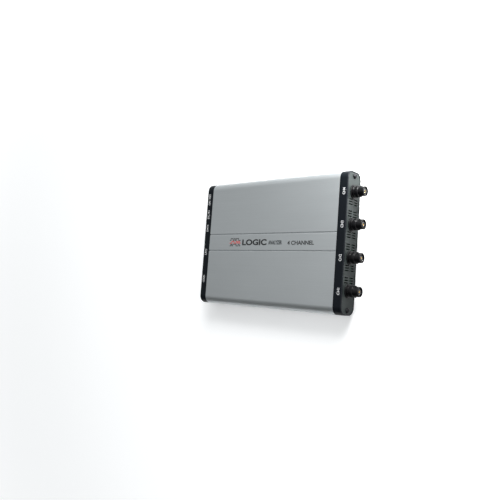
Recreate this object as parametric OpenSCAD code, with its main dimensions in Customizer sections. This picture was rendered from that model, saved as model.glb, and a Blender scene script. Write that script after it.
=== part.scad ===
// Four-channel logic analyzer in an extruded aluminium case, lying on its feet.
// Frame: X across the case (channel 4 at +X), Y along it (inputs face -Y), Z up.
// The origin is the middle of the footprint, on the surface the feet stand on.

/* [Case] */
// Width of the case, across the channels
case_w = 136; // [136:1:180]
// Thickness of the extruded case, without its feet
case_t = 24; // [22:0.5:40]
// Length of the extrusion between the two bezels
case_l = 168; // [164:1:260]
// Outer radius of the four long edges
case_r = 8; // [7:0.5:10]
// Wall thickness of the extrusion
case_wall = 1.8; // [1.4:0.1:2.4]
// Distance of each groove from the middle of the face
groove_pitch = 9; // [4:0.5:20]
// Width of a groove at the surface
groove_w = 1.6; // [0.8:0.1:2.4]
// Depth of a groove
groove_d = 0.8; // [0.3:0.1:1]

/* [End bezels] */
// Length that a bezel adds to the case
bezel_l = 9; // [7:0.5:14]
// Wall thickness of a bezel
bezel_wall = 2.6; // [2.2:0.1:3.4]
// Width of the thin rim around the panel
rim = 1.5; // [0.8:0.1:1.6]
// Rounding of the bezel's outer edge
bezel_round = 0.9; // [0.3:0.1:1]
// How far the panel sits below the rim
panel_recess = 0.4; // [0.2:0.1:1]
// Thickness of the end panels
panel_t = 1.5; // [1:0.1:2.5]
// Length of the spigot that enters the extrusion
spigot_l = 4; // [2:0.5:8]
// Thickness of the spigot
spigot_t = 1.4; // [1:0.1:1.8]

/* [Screws and feet] */
// Distance of the screws from the outer side of the case
screw_inset = 4.6; // [4.4:0.1:6]
// Head diameter of a panel screw
screw_head_d = 5; // [4:0.1:5.4]
// Head height of a panel screw
screw_head_h = 1.8; // [1:0.1:2.4]
// Thread diameter of a panel screw
screw_d = 3; // [2.5:0.1:3]
// Length of a panel screw below its head
screw_l = 16; // [13:1:24]
// Diameter of a rubber foot
foot_d = 10; // [6:0.5:16]
// Height of a rubber foot
foot_h = 1.5; // [1:0.1:4]
// Distance of the feet from the long sides
foot_inset_x = 16; // [12:1:30]
// Distance of the feet from the ends of the extrusion
foot_inset_y = 16; // [8:1:40]

/* [Channel connectors] */
// Distance from one channel to the next
channel_pitch = 31.2; // [28:0.1:31.3]
// How far the row of channels sits off the middle, towards channel 4
channel_offset = 1.5; // [0:0.1:1.6]
// How far the connectors reach out of the bezel's face
bnc_reach = 12.2; // [11:0.1:16]
// Outer diameter of the connector at its mouth
bnc_d = 9.66; // [9.6:0.01:9.8]
// Bore of the connector at its mouth
bnc_bore = 8.1; // [8:0.05:8.2]
// How far the barrel is relieved behind its bayonet lugs
bnc_relief = 0.18; // [0.1:0.01:0.2]
// Diameter of the connector's foot
bnc_foot_d = 11.2; // [10.4:0.1:11.4]
// Width of the trim ring around the foot
ring_w = 1.2; // [0.7:0.1:1.9]
// Distance across the tips of the bayonet lugs
lug_span = 11; // [10.8:0.1:11.1]
// Distance of the bayonet lugs behind the mouth
lug_back = 4.9; // [4.6:0.1:5.2]

/* [Vents] */
// Length of a vent slot
vent_l = 6.6; // [4:0.1:7]
// Width of a vent slot
vent_w = 1.1; // [0.8:0.1:1.4]
// Distance between slots in a group of three
vent_pitch = 2.4; // [2:0.1:2.6]
// Gap between the upper and the lower row of slots
vent_gap = 2.6; // [1.6:0.1:4]
// Distance of a group's middle from halfway between two channels
vent_group = 5.7; // [4:0.1:5.8]

/* [Rear ports] */
// Place of the power switch, from the middle towards channel 4
switch_x = 50; // [48:0.5:52.5]
// Place of the supply inlet
dc_x = 32.5; // [30:0.5:35.5]
// Place of the computer port
usb_x = 17; // [14:0.5:18.5]
// Place of the network port
lan_x = -10.5; // [-12:0.5:-7]
// Place of the logic input port
logic_x = -41; // [-41:0.5:-38]
// Angle between the two positions of the rocker
rocker_travel = 20; // [14:1:20]

/* [Main board] */
// Thickness of the main board
board_t = 1.6; // [1.2:0.1:2]
// Gap below the board, down to the inside of the bezels' spigots
board_gap = 0.65; // [0.55:0.05:1]
// Gap between the board's edges and the bezels' spigots
board_clear = 0.8; // [0.3:0.1:2]

/* [Hidden] */

$fn = 48;
channels = 4;
fit = 0.15;                       // clearance between pieces that slot together
overcut = 1;                      // how far a cutting shape runs past what it cuts

// Whole case
body_l = case_l + 2 * bezel_l;
mid_z = foot_h + case_t / 2;      // height of the case's middle
spigot_depth = case_wall + fit + spigot_t;   // from the case's outside to the spigot's inside
board_z = spigot_depth + board_gap;          // from the case's underside to the board's
screw_x = case_w / 2 - screw_inset;
screw_pilot_d = screw_d - 0.5;
screw_clear_d = screw_d + 0.4;
channel_d = screw_pilot_d + 3.1;  // outside of the screw channels in the extrusion
boss_d = screw_clear_d + 3;       // outside of the screw bosses in the bezels
panel_back = panel_recess + panel_t;
panel_fit = 0.05;                 // gap between a panel and the rim around it
guide_gap = 0.1;                  // clearance above and below the board in its guides
guide_t = 1.2;                    // thickness of a card guide
guide_bite = 1.6;                 // how far a card guide covers the board's edge
guide_end = 0.5;                  // the guides stop this far short of the spigots
screw_slot_w = 0.6;
screw_slot_d = 0.9;

// Front connectors
bore_floor = bnc_reach - 8.9;     // bottom of the connector's bore
foot_end = bnc_reach - 6;         // where the foot narrows to the neck
mouth_chamfer = 0.35;
sleeve_t = 0.25;
sleeve_back = 2;                  // the sleeve starts this far behind the mouth
ring_t = 0.8;
lug_d = 2;
barrel_start = bnc_reach - lug_back + lug_d / 2;
block_w = 14.5;                   // connector block behind the panel
block_l = 13;
block_h = case_t / 2 - board_z - board_t;   // from the connector's axis down to the board
nose_d = 4.75;
nose_back = 0.5;
rear_nose_d = 6.4;
contact_d = 2.1;
contact_hole_d = 0.95;
tail_d = 0.9;

// Power switch
cavity_w = 13;
cavity_h = 8.6;
frame_wall = 0.7;
frame_floor = 1.2;
frame_depth = 12;                 // depth of the switch below the flange
flange_w = cavity_w + 2;
flange_h = cavity_h + 1.9;
flange_t = 1.6;
flange_r = 0.8;
rocker_len = cavity_w - 1.8;
rocker_w = cavity_h - 0.5;
rocker_side = 1;                  // the rocker's ends reach this far below its pivot
rocker_base = 3;                  // and its narrower base this far
rocker_base_inset = 2.4;
pivot_depth = 2.2;                // the rocker turns this far below the flange's face
valley = 3;                       // height of the rocker's middle above its pivot
pivot_d = 2;
pivot_fit = 0.05;                 // radial clearance of the rocker's pivot
pivot_reach = 0.5;
terminal = [2.2, 1, 9];
terminal_pitch = 4.2;
terminal_in = 2;                  // how far a terminal reaches up inside the frame's floor
lead_d = 1.4;
half_travel = rocker_travel / 2;
rocker_tip = valley + rocker_len / 2 * tan(half_travel);
rocker_rise = rocker_len / 2 * sin(half_travel) + rocker_tip * cos(half_travel) - pivot_depth;
rear_reach = flange_t - panel_recess + rocker_rise;

// Ends of the body along Y; the footprint, connectors included, is centred on the origin
mid_y = (bnc_reach - rear_reach) / 2;
front_y = mid_y - body_l / 2;
rear_y = mid_y + body_l / 2;

// Rear ports, as widths, heights and depths
dc_size = [9, 11, 14.2];
usb_size = [12, 10.9, 16];
lan_size = [16, 13.4, 21.3];
logic_size = [33, 9, 9];
port_gap = 0.2;                   // gap between a port and its cut-out
sheet_t = 0.4;                    // sheet thickness of the network port's shell and the cans

// Supply inlet
dc_bore = 6.3;
dc_bore_l = 9.5;
dc_pin_d = 2;
dc_pin_back = 0.9;
dc_pin_tip = 0.5;
dc_leaf = [2.4, 0.3, 6];

// Computer port
usb_hole = [8.45, 7.78];
usb_corner = 1.6;
usb_hole_l = 8.8;
usb_tongue_size = [5.6, 3.1];
usb_tongue_back = 0.8;
usb_contact = [1, 0.2, 5.5];
usb_contact_pitch = 2.5;

// Network port
lan_hole = [11.8, 8.4];
lan_hole_l = 12;
lan_hole_y = 0.9;                 // the hole sits this far above the port's middle
latch_w = [6, 3.2];
latch_h = 1.7;
lan_lip = 0.6;                    // the shell folds this far over the insert's face
lan_inner = [lan_size[0] - 2 * sheet_t, lan_size[1] - 2 * sheet_t];
lan_contact = [0.4, 0.5, 8];
lan_contact_pitch = 1.02;
light_size = [3.2, 1.6, 2.6];
light_x = 5.4;
light_y = 2.2 - lan_size[1] / 2;

// Logic input port
logic_columns = 10;
pin_pitch = 2.54;
pin_w = 0.64;
pin_back = 0.9;                   // pin tips sit this far behind the shroud's face
shroud_wall = 1;
shroud_floor = 2.6;
key_w = 4.5;
pin_tail = 1.5;                   // the first row of pins bends down this far behind the shroud

// Board and what stands on it, as distances from the front bezel's face
board_margin = 3;                 // from either end of the body to the board's edge
board_top = board_z + board_t;
spigot_inner_r = case_r - spigot_depth;
board_w = case_w - 2 * case_r - 2 * board_clear
    + 2 * sqrt(pow(spigot_inner_r, 2) - pow(case_r - board_z, 2));
can_gap = 8;
bay_w = (board_w - 2 * guide_bite) / channels;
can_size = [bay_w - can_gap, 44, 9];
can_at = panel_back + block_l + 4;
adc_at = can_at + can_size[1] + 9;
core_at = adc_at + 24;            // row of the main logic chip and its memory
power_at = core_at + 26;          // row of the supply's coils
ports_at = body_l - 38;           // row of the port chips
fpga_x = 8;
fpga_size = [23, 23, 2.2];
pad_t = 0.5;
sink_size = [32, 32];
sink_base = 2.5;
sink_fins = 9;
fin_t = 1.2;
sink_top_gap = 1.5;               // from the fins to the inside of the case
power_x = 42;
power_pitch = 12;

// ---------- frames ----------

// Front end: X across, Y up from the case's middle, Z out of the front bezel's face.
module at_front() {
    translate([0, front_y, mid_z]) rotate([90, 0, 0]) children();
}

// Rear end: the same, seen from behind; place_x is still measured towards channel 4.
module at_rear(place_x = 0) {
    translate([place_x, rear_y, mid_z]) rotate([90, 0, 180]) children();
}

// Board top: X across, Y back from the front bezel's face, Z up from the board.
module on_board(x = 0, back = 0) {
    translate([x, front_y + back, foot_h + board_top]) children();
}

// Height of a port's middle above the case's middle when it stands on the board.
function port_y(h) = board_top + h / 2 - case_t / 2;

function channel_x(n) = channel_offset + (n - (channels + 1) / 2) * channel_pitch;

// Middle of a channel's share of the board.
function bay_x(n) = (n - (channels + 1) / 2) * bay_w;

// ---------- shapes ----------

module rounded_rect(w, h, r) {
    square([w - 2 * r, h], center = true);
    square([w, h - 2 * r], center = true);
    for (x = [-1, 1], y = [-1, 1])
        translate([x * (w / 2 - r), y * (h / 2 - r)]) circle(r);
}

// Sweeps a profile around the case's outline. The profile's X is the distance
// from the centre of the corner arcs, and its Y is the height of the sweep.
module sweep_case_outline() {
    flat_w = case_w - 2 * case_r;
    flat_h = case_t - 2 * case_r;
    for (side = [0:3]) {
        along = side % 2 == 0 ? flat_h : flat_w;
        across = side % 2 == 0 ? flat_w : flat_h;
        rotate([0, 0, side * 90]) translate([across / 2, 0, 0]) {
            translate([0, along / 2, 0]) rotate([90, 0, 0]) linear_extrude(along) children();
            translate([0, along / 2, 0]) rotate_extrude(angle = 90) children();
        }
    }
}

module bar(size, place = [0, 0, 0]) {
    translate(place) cube(size, center = true);
}

// A plain box that stands on the board, centred on x, with its front edge at back.
module chip(size, x, back) {
    on_board(x, back + size[1] / 2) translate([0, 0, size[2] / 2]) cube(size, center = true);
}

// ---------- case ----------

module case_profile() {
    difference() {
        rounded_rect(case_w, case_t, case_r);
        rounded_rect(case_w - 2 * case_wall, case_t - 2 * case_wall, case_r - case_wall);
        for (x = [-1, 1], y = [-1, 1])
            translate([x * groove_pitch, y * case_t / 2])
                polygon([[-groove_w / 2, 0], [0, -y * groove_d], [groove_w / 2, 0]]);
    }
    web = screw_inset - case_wall / 2;
    for (x = [-1, 1])
        translate([x * screw_x, 0]) difference() {
            union() {
                circle(d = channel_d);
                translate([x * web / 2, 0]) square([web, channel_d / 2], center = true);
            }
            circle(d = screw_pilot_d);
        }
}

// Card guides: two ribs at each side, above and below the board's edge.
module guide_profile() {
    rib_w = case_w / 2 - board_w / 2 + guide_bite;
    intersection() {
        rounded_rect(case_w - case_wall, case_t - case_wall, case_r - case_wall / 2);
        for (x = [-1, 1], y = [board_z - guide_gap - guide_t, board_top + guide_gap])
            translate([x * (case_w - rib_w) / 2, y + guide_t / 2 - case_t / 2])
                square([rib_w, guide_t], center = true);
    }
}

module case_extrusion() {
    guide_l = case_l - 2 * (spigot_l + guide_end);
    color("silver") translate([0, mid_y, mid_z]) rotate([90, 0, 0]) {
        linear_extrude(case_l, center = true) case_profile();
        linear_extrude(guide_l, center = true) guide_profile();
    }
}

// Section through a bezel's wall: the spigot, the wall, the panel's seat and the rounded rim.
module bezel_profile() {
    spigot_root = 1.5;
    difference() {
        union() {
            translate([case_r - bezel_wall, -bezel_l]) square([bezel_wall, bezel_l]);
            translate([spigot_inner_r, -bezel_l - spigot_l]) square([spigot_t, spigot_l + spigot_root]);
        }
        translate([case_r - bezel_wall - overcut, -panel_back])
            square([bezel_wall + overcut - rim, panel_back + overcut]);
        translate([case_r - bezel_round, -bezel_round]) difference() {
            square(bezel_round + overcut);
            circle(bezel_round);
        }
    }
}

// One end frame, with a screw boss at each side and a notch in its spigot for the screw channel.
module bezel() {
    notch_h = channel_d + 2 * fit;
    boss_l = bezel_l - panel_back;
    web = screw_inset - bezel_wall / 2;
    color("#1b1c1f") difference() {
        union() {
            sweep_case_outline() bezel_profile();
            for (x = [-1, 1]) translate([x * screw_x, 0, -bezel_l]) {
                cylinder(h = boss_l, d = boss_d);
                bar([web, boss_d / 2, boss_l], [x * web / 2, 0, boss_l / 2]);
            }
        }
        for (x = [-1, 1]) {
            translate([x * screw_x, 0, -bezel_l - overcut])
                cylinder(h = bezel_l + overcut, d = screw_clear_d);
            bar([2 * screw_inset, notch_h, spigot_l], [x * screw_x, 0, -bezel_l - spigot_l / 2]);
        }
    }
}

module front_bezel() {
    at_front() bezel();
}

module rear_bezel() {
    at_rear() bezel();
}

module panel_blank() {
    translate([0, 0, -panel_back]) linear_extrude(panel_t) difference() {
        rounded_rect(case_w - 2 * (rim + panel_fit), case_t - 2 * (rim + panel_fit),
                     case_r - rim - panel_fit);
        for (x = [-1, 1]) translate([x * screw_x, 0]) circle(d = screw_clear_d);
    }
}

// Three slots side by side, in an upper and a lower row.
module vent_group() {
    for (x = [-1:1], y = [-1, 1])
        bar([vent_w, vent_l, panel_t + 2 * overcut],
            [x * vent_pitch, y * (vent_gap + vent_l) / 2, -panel_back + panel_t / 2]);
}

module front_panel() {
    at_front() color("#6b7073") difference() {
        panel_blank();
        for (n = [1:channels])
            translate([channel_x(n), 0, -panel_back - overcut])
                cylinder(h = panel_t + 2 * overcut, d = bnc_foot_d + 2 * fit);
        for (n = [1:channels - 1], side = [-1, 1])
            translate([channel_x(n + 0.5) + side * vent_group, 0, 0]) vent_group();
    }
}

// Opening of a given width and height at a given place on the rear panel.
module cut_out(place_x, w, h, y = 0) {
    bar([w, h, panel_t + 2 * overcut], [-place_x, y, -panel_back + panel_t / 2]);
}

// Opening for a port that stands on the board.
module port_cut_out(place_x, size) {
    cut_out(place_x, size[0] + 2 * port_gap, size[1] + 2 * port_gap, port_y(size[1]));
}

module rear_panel() {
    vent_x = (usb_x - usb_size[0] / 2 + lan_x + lan_size[0] / 2) / 2;
    at_rear() color("#6b7073") difference() {
        panel_blank();
        cut_out(switch_x, cavity_w + 2 * frame_wall, cavity_h + 2 * frame_wall);
        port_cut_out(dc_x, dc_size);
        port_cut_out(usb_x, usb_size);
        port_cut_out(lan_x, lan_size);
        cut_out(logic_x, logic_size[0] + 2 * port_gap, logic_size[1] + 2 * port_gap);
        translate([-vent_x, 0, 0]) vent_group();
    }
}

// Pan-head screw with a cross recess, seated on the panel.
module panel_screw() {
    rim_h = screw_head_h / 2;
    translate([0, 0, -panel_recess]) difference() {
        union() {
            translate([0, 0, -screw_l]) cylinder(h = screw_l + rim_h, d = screw_pilot_d);
            cylinder(h = rim_h, d = screw_head_d);
            translate([0, 0, rim_h])
                cylinder(h = screw_head_h - rim_h, d1 = screw_head_d, d2 = 0.7 * screw_head_d);
        }
        for (turn = [0, 90])
            rotate([0, 0, turn])
                bar([screw_head_d / 2, screw_slot_w, 2 * screw_slot_d], [0, 0, screw_head_h]);
    }
}

module front_screws() {
    at_front() color("#202124") for (x = [-1, 1]) translate([x * screw_x, 0, 0]) panel_screw();
}

module rear_screws() {
    at_rear() color("#202124") for (x = [-1, 1]) translate([x * screw_x, 0, 0]) panel_screw();
}

module rubber_feet() {
    chamfer = foot_h / 3;
    color("#151515") for (x = [-1, 1], y = [-1, 1])
        translate([x * (case_w / 2 - foot_inset_x), mid_y + y * (case_l / 2 - foot_inset_y), 0]) {
            cylinder(h = chamfer, d1 = foot_d - 2 * chamfer, d2 = foot_d);
            translate([0, 0, chamfer]) cylinder(h = foot_h - chamfer, d = foot_d);
        }
}

// ---------- channel connectors ----------

module at_channel(n) {
    at_front() translate([channel_x(n), 0, 0]) children();
}

module bnc_housing(n) {
    liner_d = bnc_bore + 2 * sleeve_t;
    at_channel(n) color("#1d1e20") difference() {
        union() {
            translate([0, 0, -panel_back]) cylinder(h = panel_back + foot_end, d = bnc_foot_d);
            cylinder(h = bnc_reach - mouth_chamfer, d = bnc_d - 2 * bnc_relief);
            translate([0, 0, barrel_start])
                cylinder(h = bnc_reach - mouth_chamfer - barrel_start, d = bnc_d);
            translate([0, 0, bnc_reach - mouth_chamfer])
                cylinder(h = mouth_chamfer, d1 = bnc_d, d2 = bnc_d - 2 * mouth_chamfer);
            translate([0, 0, bnc_reach - lug_back]) rotate([0, 90, 0])
                cylinder(h = lug_span, d = lug_d, center = true);
            translate([-block_w / 2, -block_h, -panel_back - block_l])
                cube([block_w, 2 * block_h, block_l]);
        }
        translate([0, 0, bore_floor]) cylinder(h = bnc_reach, d = bnc_bore);
        translate([0, 0, bore_floor]) cylinder(h = bnc_reach - sleeve_back - bore_floor, d = liner_d);
        translate([0, 0, -panel_back - block_l - overcut])
            cylinder(h = bnc_reach + panel_back + block_l, d = rear_nose_d);
    }
}

module bnc_sleeve(n) {
    at_channel(n) color("#b9bcc0") difference() {
        translate([0, 0, bore_floor])
            cylinder(h = bnc_reach - sleeve_back - bore_floor, d = bnc_bore + 2 * sleeve_t);
        translate([0, 0, bore_floor - overcut]) cylinder(h = bnc_reach, d = bnc_bore);
    }
}

module bnc_insulator(n) {
    bore_disc_h = 1.2;
    at_channel(n) color("#28282a") difference() {
        union() {
            translate([0, 0, -panel_back - block_l])
                cylinder(h = panel_back + block_l + bore_floor, d = rear_nose_d);
            translate([0, 0, bore_floor]) cylinder(h = bore_disc_h, d = bnc_bore);
            translate([0, 0, bore_floor]) cylinder(h = bnc_reach - nose_back - bore_floor, d = nose_d);
        }
        translate([0, 0, -panel_back - block_l - overcut])
            cylinder(h = bnc_reach + panel_back + block_l + 2 * overcut, d = contact_d);
    }
}

// Gold centre contact: a split socket in front, and a tail that drops to the board.
module bnc_contact(n) {
    tail_out = panel_back + block_l + 1.4;
    socket_l = 5;
    slit_w = 0.25;
    contact_end = bnc_reach - nose_back - 0.4;
    at_channel(n) color("#c9a24a") {
        difference() {
            translate([0, 0, -tail_out]) cylinder(h = tail_out + contact_end, d = contact_d);
            translate([0, 0, contact_end - socket_l])
                cylinder(h = socket_l + overcut, d = contact_hole_d);
            bar([contact_d + overcut, slit_w, 2 * socket_l], [0, 0, contact_end]);
        }
        translate([0, 0, -tail_out + tail_d / 2]) rotate([90, 0, 0]) cylinder(h = block_h, d = tail_d);
    }
}

module bnc_trim_rings() {
    for (n = [1:channels])
        at_channel(n) color("#17181a") translate([0, 0, -panel_recess]) difference() {
            cylinder(h = ring_t, d = bnc_foot_d + 2 * ring_w);
            translate([0, 0, -overcut]) cylinder(h = ring_t + 2 * overcut, d = bnc_foot_d);
        }
}

// ---------- power switch ----------

module at_switch() {
    at_rear(switch_x) translate([0, 0, -panel_recess]) children();
}

module switch_frame() {
    at_switch() color("#18191b") difference() {
        union() {
            linear_extrude(flange_t) rounded_rect(flange_w, flange_h, flange_r);
            bar([cavity_w + 2 * frame_wall, cavity_h + 2 * frame_wall, frame_depth],
                [0, 0, -frame_depth / 2]);
        }
        translate([0, 0, frame_floor - frame_depth]) linear_extrude(frame_depth + flange_t)
            square([cavity_w, cavity_h], center = true);
        translate([0, 0, flange_t - pivot_depth]) rotate([90, 0, 0])
            cylinder(h = cavity_h + 4 * frame_wall, d = pivot_d + 2 * pivot_fit, center = true);
        for (i = [-1:1])
            bar([terminal[0], terminal[1], 4 * frame_floor], [i * terminal_pitch, 0, -frame_depth]);
    }
}

// Side outline of the rocker around its pivot, X along it and Y out of the case.
module rocker_profile() {
    half = rocker_len / 2;
    base = half - rocker_base_inset;
    polygon([[-half, rocker_tip], [0, valley], [half, rocker_tip],
             [half, -rocker_side], [base, -rocker_base], [-base, -rocker_base], [-half, -rocker_side]]);
}

// The rocker rests with its channel 4 end pressed in: the off position.
module switch_rocker() {
    at_switch() color("#101112")
        translate([0, 0, flange_t - pivot_depth]) rotate([90, -half_travel, 0]) {
            linear_extrude(rocker_w, center = true) rocker_profile();
            cylinder(h = cavity_h + 2 * pivot_reach, d = pivot_d, center = true);
        }
}

module switch_terminals() {
    at_switch() color("#c8c8c4") for (i = [-1:1])
        bar(terminal, [i * terminal_pitch, 0, terminal_in - frame_depth - terminal[2] / 2]);
}

// Two insulated wires from the outer terminals down to the board.
module switch_leads() {
    terminal_end = terminal_in - frame_depth - terminal[2];
    at_switch() color("#a02020") for (i = [-1, 1])
        translate([i * terminal_pitch, lead_d, terminal_end - lead_d / 2]) rotate([90, 0, 0])
            cylinder(h = block_h + lead_d, d = lead_d);
}

// ---------- rear ports ----------

// A port that stands on the board, its face flush with the panel's face.
module at_port(place_x, size) {
    at_rear(place_x) translate([0, port_y(size[1]), -panel_recess]) children();
}

// A box that runs from its face, at a depth of zero, back into the case.
module port_box(size, x = 0, y = 0, back = 0) {
    bar(size, [x, y, -back - size[2] / 2]);
}

module dc_jack_body() {
    at_port(dc_x, dc_size) color("#1a1a1c") difference() {
        port_box(dc_size);
        translate([0, 0, -dc_bore_l]) cylinder(h = dc_bore_l + overcut, d = dc_bore);
    }
}

module dc_jack_pin() {
    straight_l = dc_bore_l - dc_pin_back - dc_pin_tip;
    at_port(dc_x, dc_size) color("#c9c9c4") translate([0, 0, -dc_bore_l]) {
        cylinder(h = straight_l, d = dc_pin_d);
        translate([0, 0, straight_l])
            cylinder(h = dc_pin_tip, d1 = dc_pin_d, d2 = dc_pin_d - dc_pin_tip);
    }
}

// Leaf spring on the floor of the inlet's bore, held at the bore's back.
module dc_jack_spring() {
    at_port(dc_x, dc_size) color("#c9a24a")
        port_box(dc_leaf, 0, -dc_bore / 2 + 2 * dc_leaf[1], dc_bore_l - dc_leaf[2]);
}

// Outline of the square-type port's hole, with its two upper corners cut.
module usb_outline() {
    w = usb_hole[0] / 2;
    h = usb_hole[1] / 2;
    polygon([[-w, -h], [w, -h], [w, h - usb_corner], [w - usb_corner, h],
             [usb_corner - w, h], [-w, h - usb_corner]]);
}

module usb_shell() {
    at_port(usb_x, usb_size) color("#b4b7ba") difference() {
        port_box(usb_size);
        translate([0, 0, -usb_hole_l]) linear_extrude(usb_hole_l + overcut) usb_outline();
    }
}

module usb_tongue() {
    tongue_l = usb_hole_l - usb_tongue_back;
    at_port(usb_x, usb_size) color("#e8e8e4")
        port_box([usb_tongue_size[0], usb_tongue_size[1], tongue_l], 0, 0, usb_tongue_back);
}

module usb_contacts() {
    at_port(usb_x, usb_size) color("#c9a24a") for (x = [-1, 1], y = [-1, 1])
        port_box(usb_contact, x * usb_contact_pitch / 2,
                 y * (usb_tongue_size[1] + usb_contact[1]) / 2, usb_hole_l - usb_contact[2]);
}

// Front outline of the network port's hole: the plug's space and two latch steps below it.
module lan_outline() {
    translate([0, lan_hole_y]) square(lan_hole, center = true);
    for (step = [0, 1])
        translate([0, lan_hole_y - lan_hole[1] / 2 - step * latch_h / 2])
            square([latch_w[step], latch_h], center = true);
}

module lan_shell() {
    at_port(lan_x, lan_size) color("#b4b7ba") difference() {
        port_box(lan_size);
        port_box([lan_inner[0], lan_inner[1], lan_size[2]], 0, 0, sheet_t);
        port_box([lan_inner[0] - 2 * lan_lip, lan_inner[1] - 2 * lan_lip, 2 * overcut], 0, 0, -overcut);
    }
}

module lan_insert() {
    at_port(lan_x, lan_size) color("#161618") difference() {
        port_box([lan_inner[0], lan_inner[1], lan_size[2] - sheet_t], 0, 0, sheet_t);
        translate([0, 0, -lan_hole_l]) linear_extrude(lan_hole_l + overcut) lan_outline();
        for (x = [-1, 1])
            port_box([light_size[0], light_size[1], sheet_t + light_size[2]], x * light_x, light_y);
    }
}

module lan_contacts() {
    at_port(lan_x, lan_size) color("#c9a24a") for (i = [0:7])
        port_box(lan_contact, (i - 3.5) * lan_contact_pitch,
                 lan_hole_y + (lan_hole[1] - lan_contact[1]) / 2, lan_hole_l - lan_contact[2]);
}

module lan_lights() {
    at_port(lan_x, lan_size) color("#9fc65a") for (x = [-1, 1])
        port_box(light_size, x * light_x, light_y, sheet_t);
}

module at_logic_port() {
    at_rear(logic_x) translate([0, 0, -panel_recess]) children();
}

module logic_shroud() {
    well = [logic_size[0] - 2 * shroud_wall, logic_size[1] - 2 * shroud_wall,
            logic_size[2] - shroud_floor + overcut];
    at_logic_port() color("#161618") difference() {
        port_box(logic_size);
        port_box(well, 0, 0, -overcut);
        port_box([key_w, 2 * shroud_wall + overcut, well[2]], 0, -logic_size[1] / 2, -overcut);
        logic_pin_rows(logic_size[2] + overcut);
    }
}

// The straight part of both rows of pins, from their tips to a given depth.
module logic_pin_rows(depth) {
    for (i = [0:logic_columns - 1], row = [-0.5, 0.5])
        port_box([pin_w, pin_w, depth - pin_back],
                 (i - (logic_columns - 1) / 2) * pin_pitch, row * pin_pitch, pin_back);
}

// Square pins that run through the shroud's floor and bend down to the board.
module logic_pins() {
    board_y = board_top - case_t / 2;
    at_logic_port() color("#c9a24a") {
        logic_pin_rows(logic_size[2] + pin_tail);
        for (i = [0:logic_columns - 1], row = [0, 1]) {
            x = (i - (logic_columns - 1) / 2) * pin_pitch;
            top = (row - 0.5) * pin_pitch + pin_w / 2;
            back = logic_size[2] + pin_tail + row * pin_pitch;
            port_box([pin_w, top - board_y, pin_w], x, (top + board_y) / 2, back - pin_w);
            port_box([pin_w, pin_w, row * pin_pitch + pin_w], x, top - pin_w / 2,
                     back - row * pin_pitch - pin_w);
        }
    }
}

// ---------- main board ----------

module main_board() {
    board_l = body_l - 2 * board_margin;
    color("#1f5a3a") translate([0, mid_y, foot_h + board_z + board_t / 2])
        cube([board_w, board_l, board_t], center = true);
}

// Open-bottomed screening cans, one over each channel's input stage.
module channel_shields() {
    hollow = [can_size[0] - 2 * sheet_t, can_size[1] - 2 * sheet_t, can_size[2]];
    for (n = [1:channels])
        on_board(bay_x(n), can_at + can_size[1] / 2) color("#c3c6c8") difference() {
            bar(can_size, [0, 0, can_size[2] / 2]);
            bar(hollow, [0, 0, can_size[2] / 2 - sheet_t]);
        }
}

module input_relays() {
    color("#e8e6dc") for (n = [1:channels]) chip([9, 15, 6], bay_x(n) - 5, can_at + 5);
}

module input_amplifiers() {
    color("#202124") for (n = [1:channels], row = [0, 1])
        chip([5, 6, 1.5], bay_x(n) + 6, can_at + 8 + 18 * row);
}

module adc_chips() {
    color("#202124") for (n = [1:channels]) chip([9, 9, 1], bay_x(n), adc_at);
}

module fpga_chip() {
    color("#26272a") chip(fpga_size, fpga_x, core_at);
}

module thermal_pad() {
    color("#8fa3b8") on_board(fpga_x, core_at + fpga_size[1] / 2)
        bar([fpga_size[0], fpga_size[1], pad_t], [0, 0, fpga_size[2] + pad_t / 2]);
}

// Finned heat sink: a base plate and a row of upright fins that run along the case.
module heat_sink() {
    base_z = fpga_size[2] + pad_t;
    fin_h = case_t - case_wall - board_top - base_z - sink_base - sink_top_gap;
    fin_pitch = (sink_size[0] - fin_t) / (sink_fins - 1);
    color("#9a9da0") on_board(fpga_x, core_at + fpga_size[1] / 2) translate([0, 0, base_z]) {
        bar([sink_size[0], sink_size[1], sink_base], [0, 0, sink_base / 2]);
        for (i = [0:sink_fins - 1])
            bar([fin_t, sink_size[1], fin_h],
                [(i - (sink_fins - 1) / 2) * fin_pitch, 0, sink_base + fin_h / 2]);
    }
}

module memory_chips() {
    color("#202124") for (row = [0, 1]) chip([13, 8, 1.2], fpga_x + 28, core_at + 1 + 13 * row);
}

module clock_oscillator() {
    color("#c9c6b8") chip([7, 5, 1.6], fpga_x - 24, core_at + 2);
}

module regulators() {
    color("#202124") for (row = [0, 1]) chip([6.6, 6.1, 2.3], power_x + 11, core_at + 1 + 13 * row);
}

module power_inductors() {
    color("#3a3b3e") for (i = [-1:1]) chip([8, 8, 4], power_x + i * power_pitch, power_at);
}

module capacitors() {
    cap_d = 8;
    cap_h = 10.5;
    color("#34405a") for (i = [-1:1])
        on_board(power_x + i * power_pitch, power_at + 12 + cap_d / 2) cylinder(h = cap_h, d = cap_d);
}

module usb_chip() {
    color("#202124") chip([8, 8, 1], usb_x, ports_at + 2);
}

module lan_chip() {
    color("#202124") chip([7, 7, 1], lan_x, ports_at);
}

module logic_buffers() {
    color("#202124") for (x = [-1, 1]) chip([12.5, 6.1, 1.2], logic_x + x * 9, ports_at + 4);
}

// ---------- nodes ----------

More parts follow.
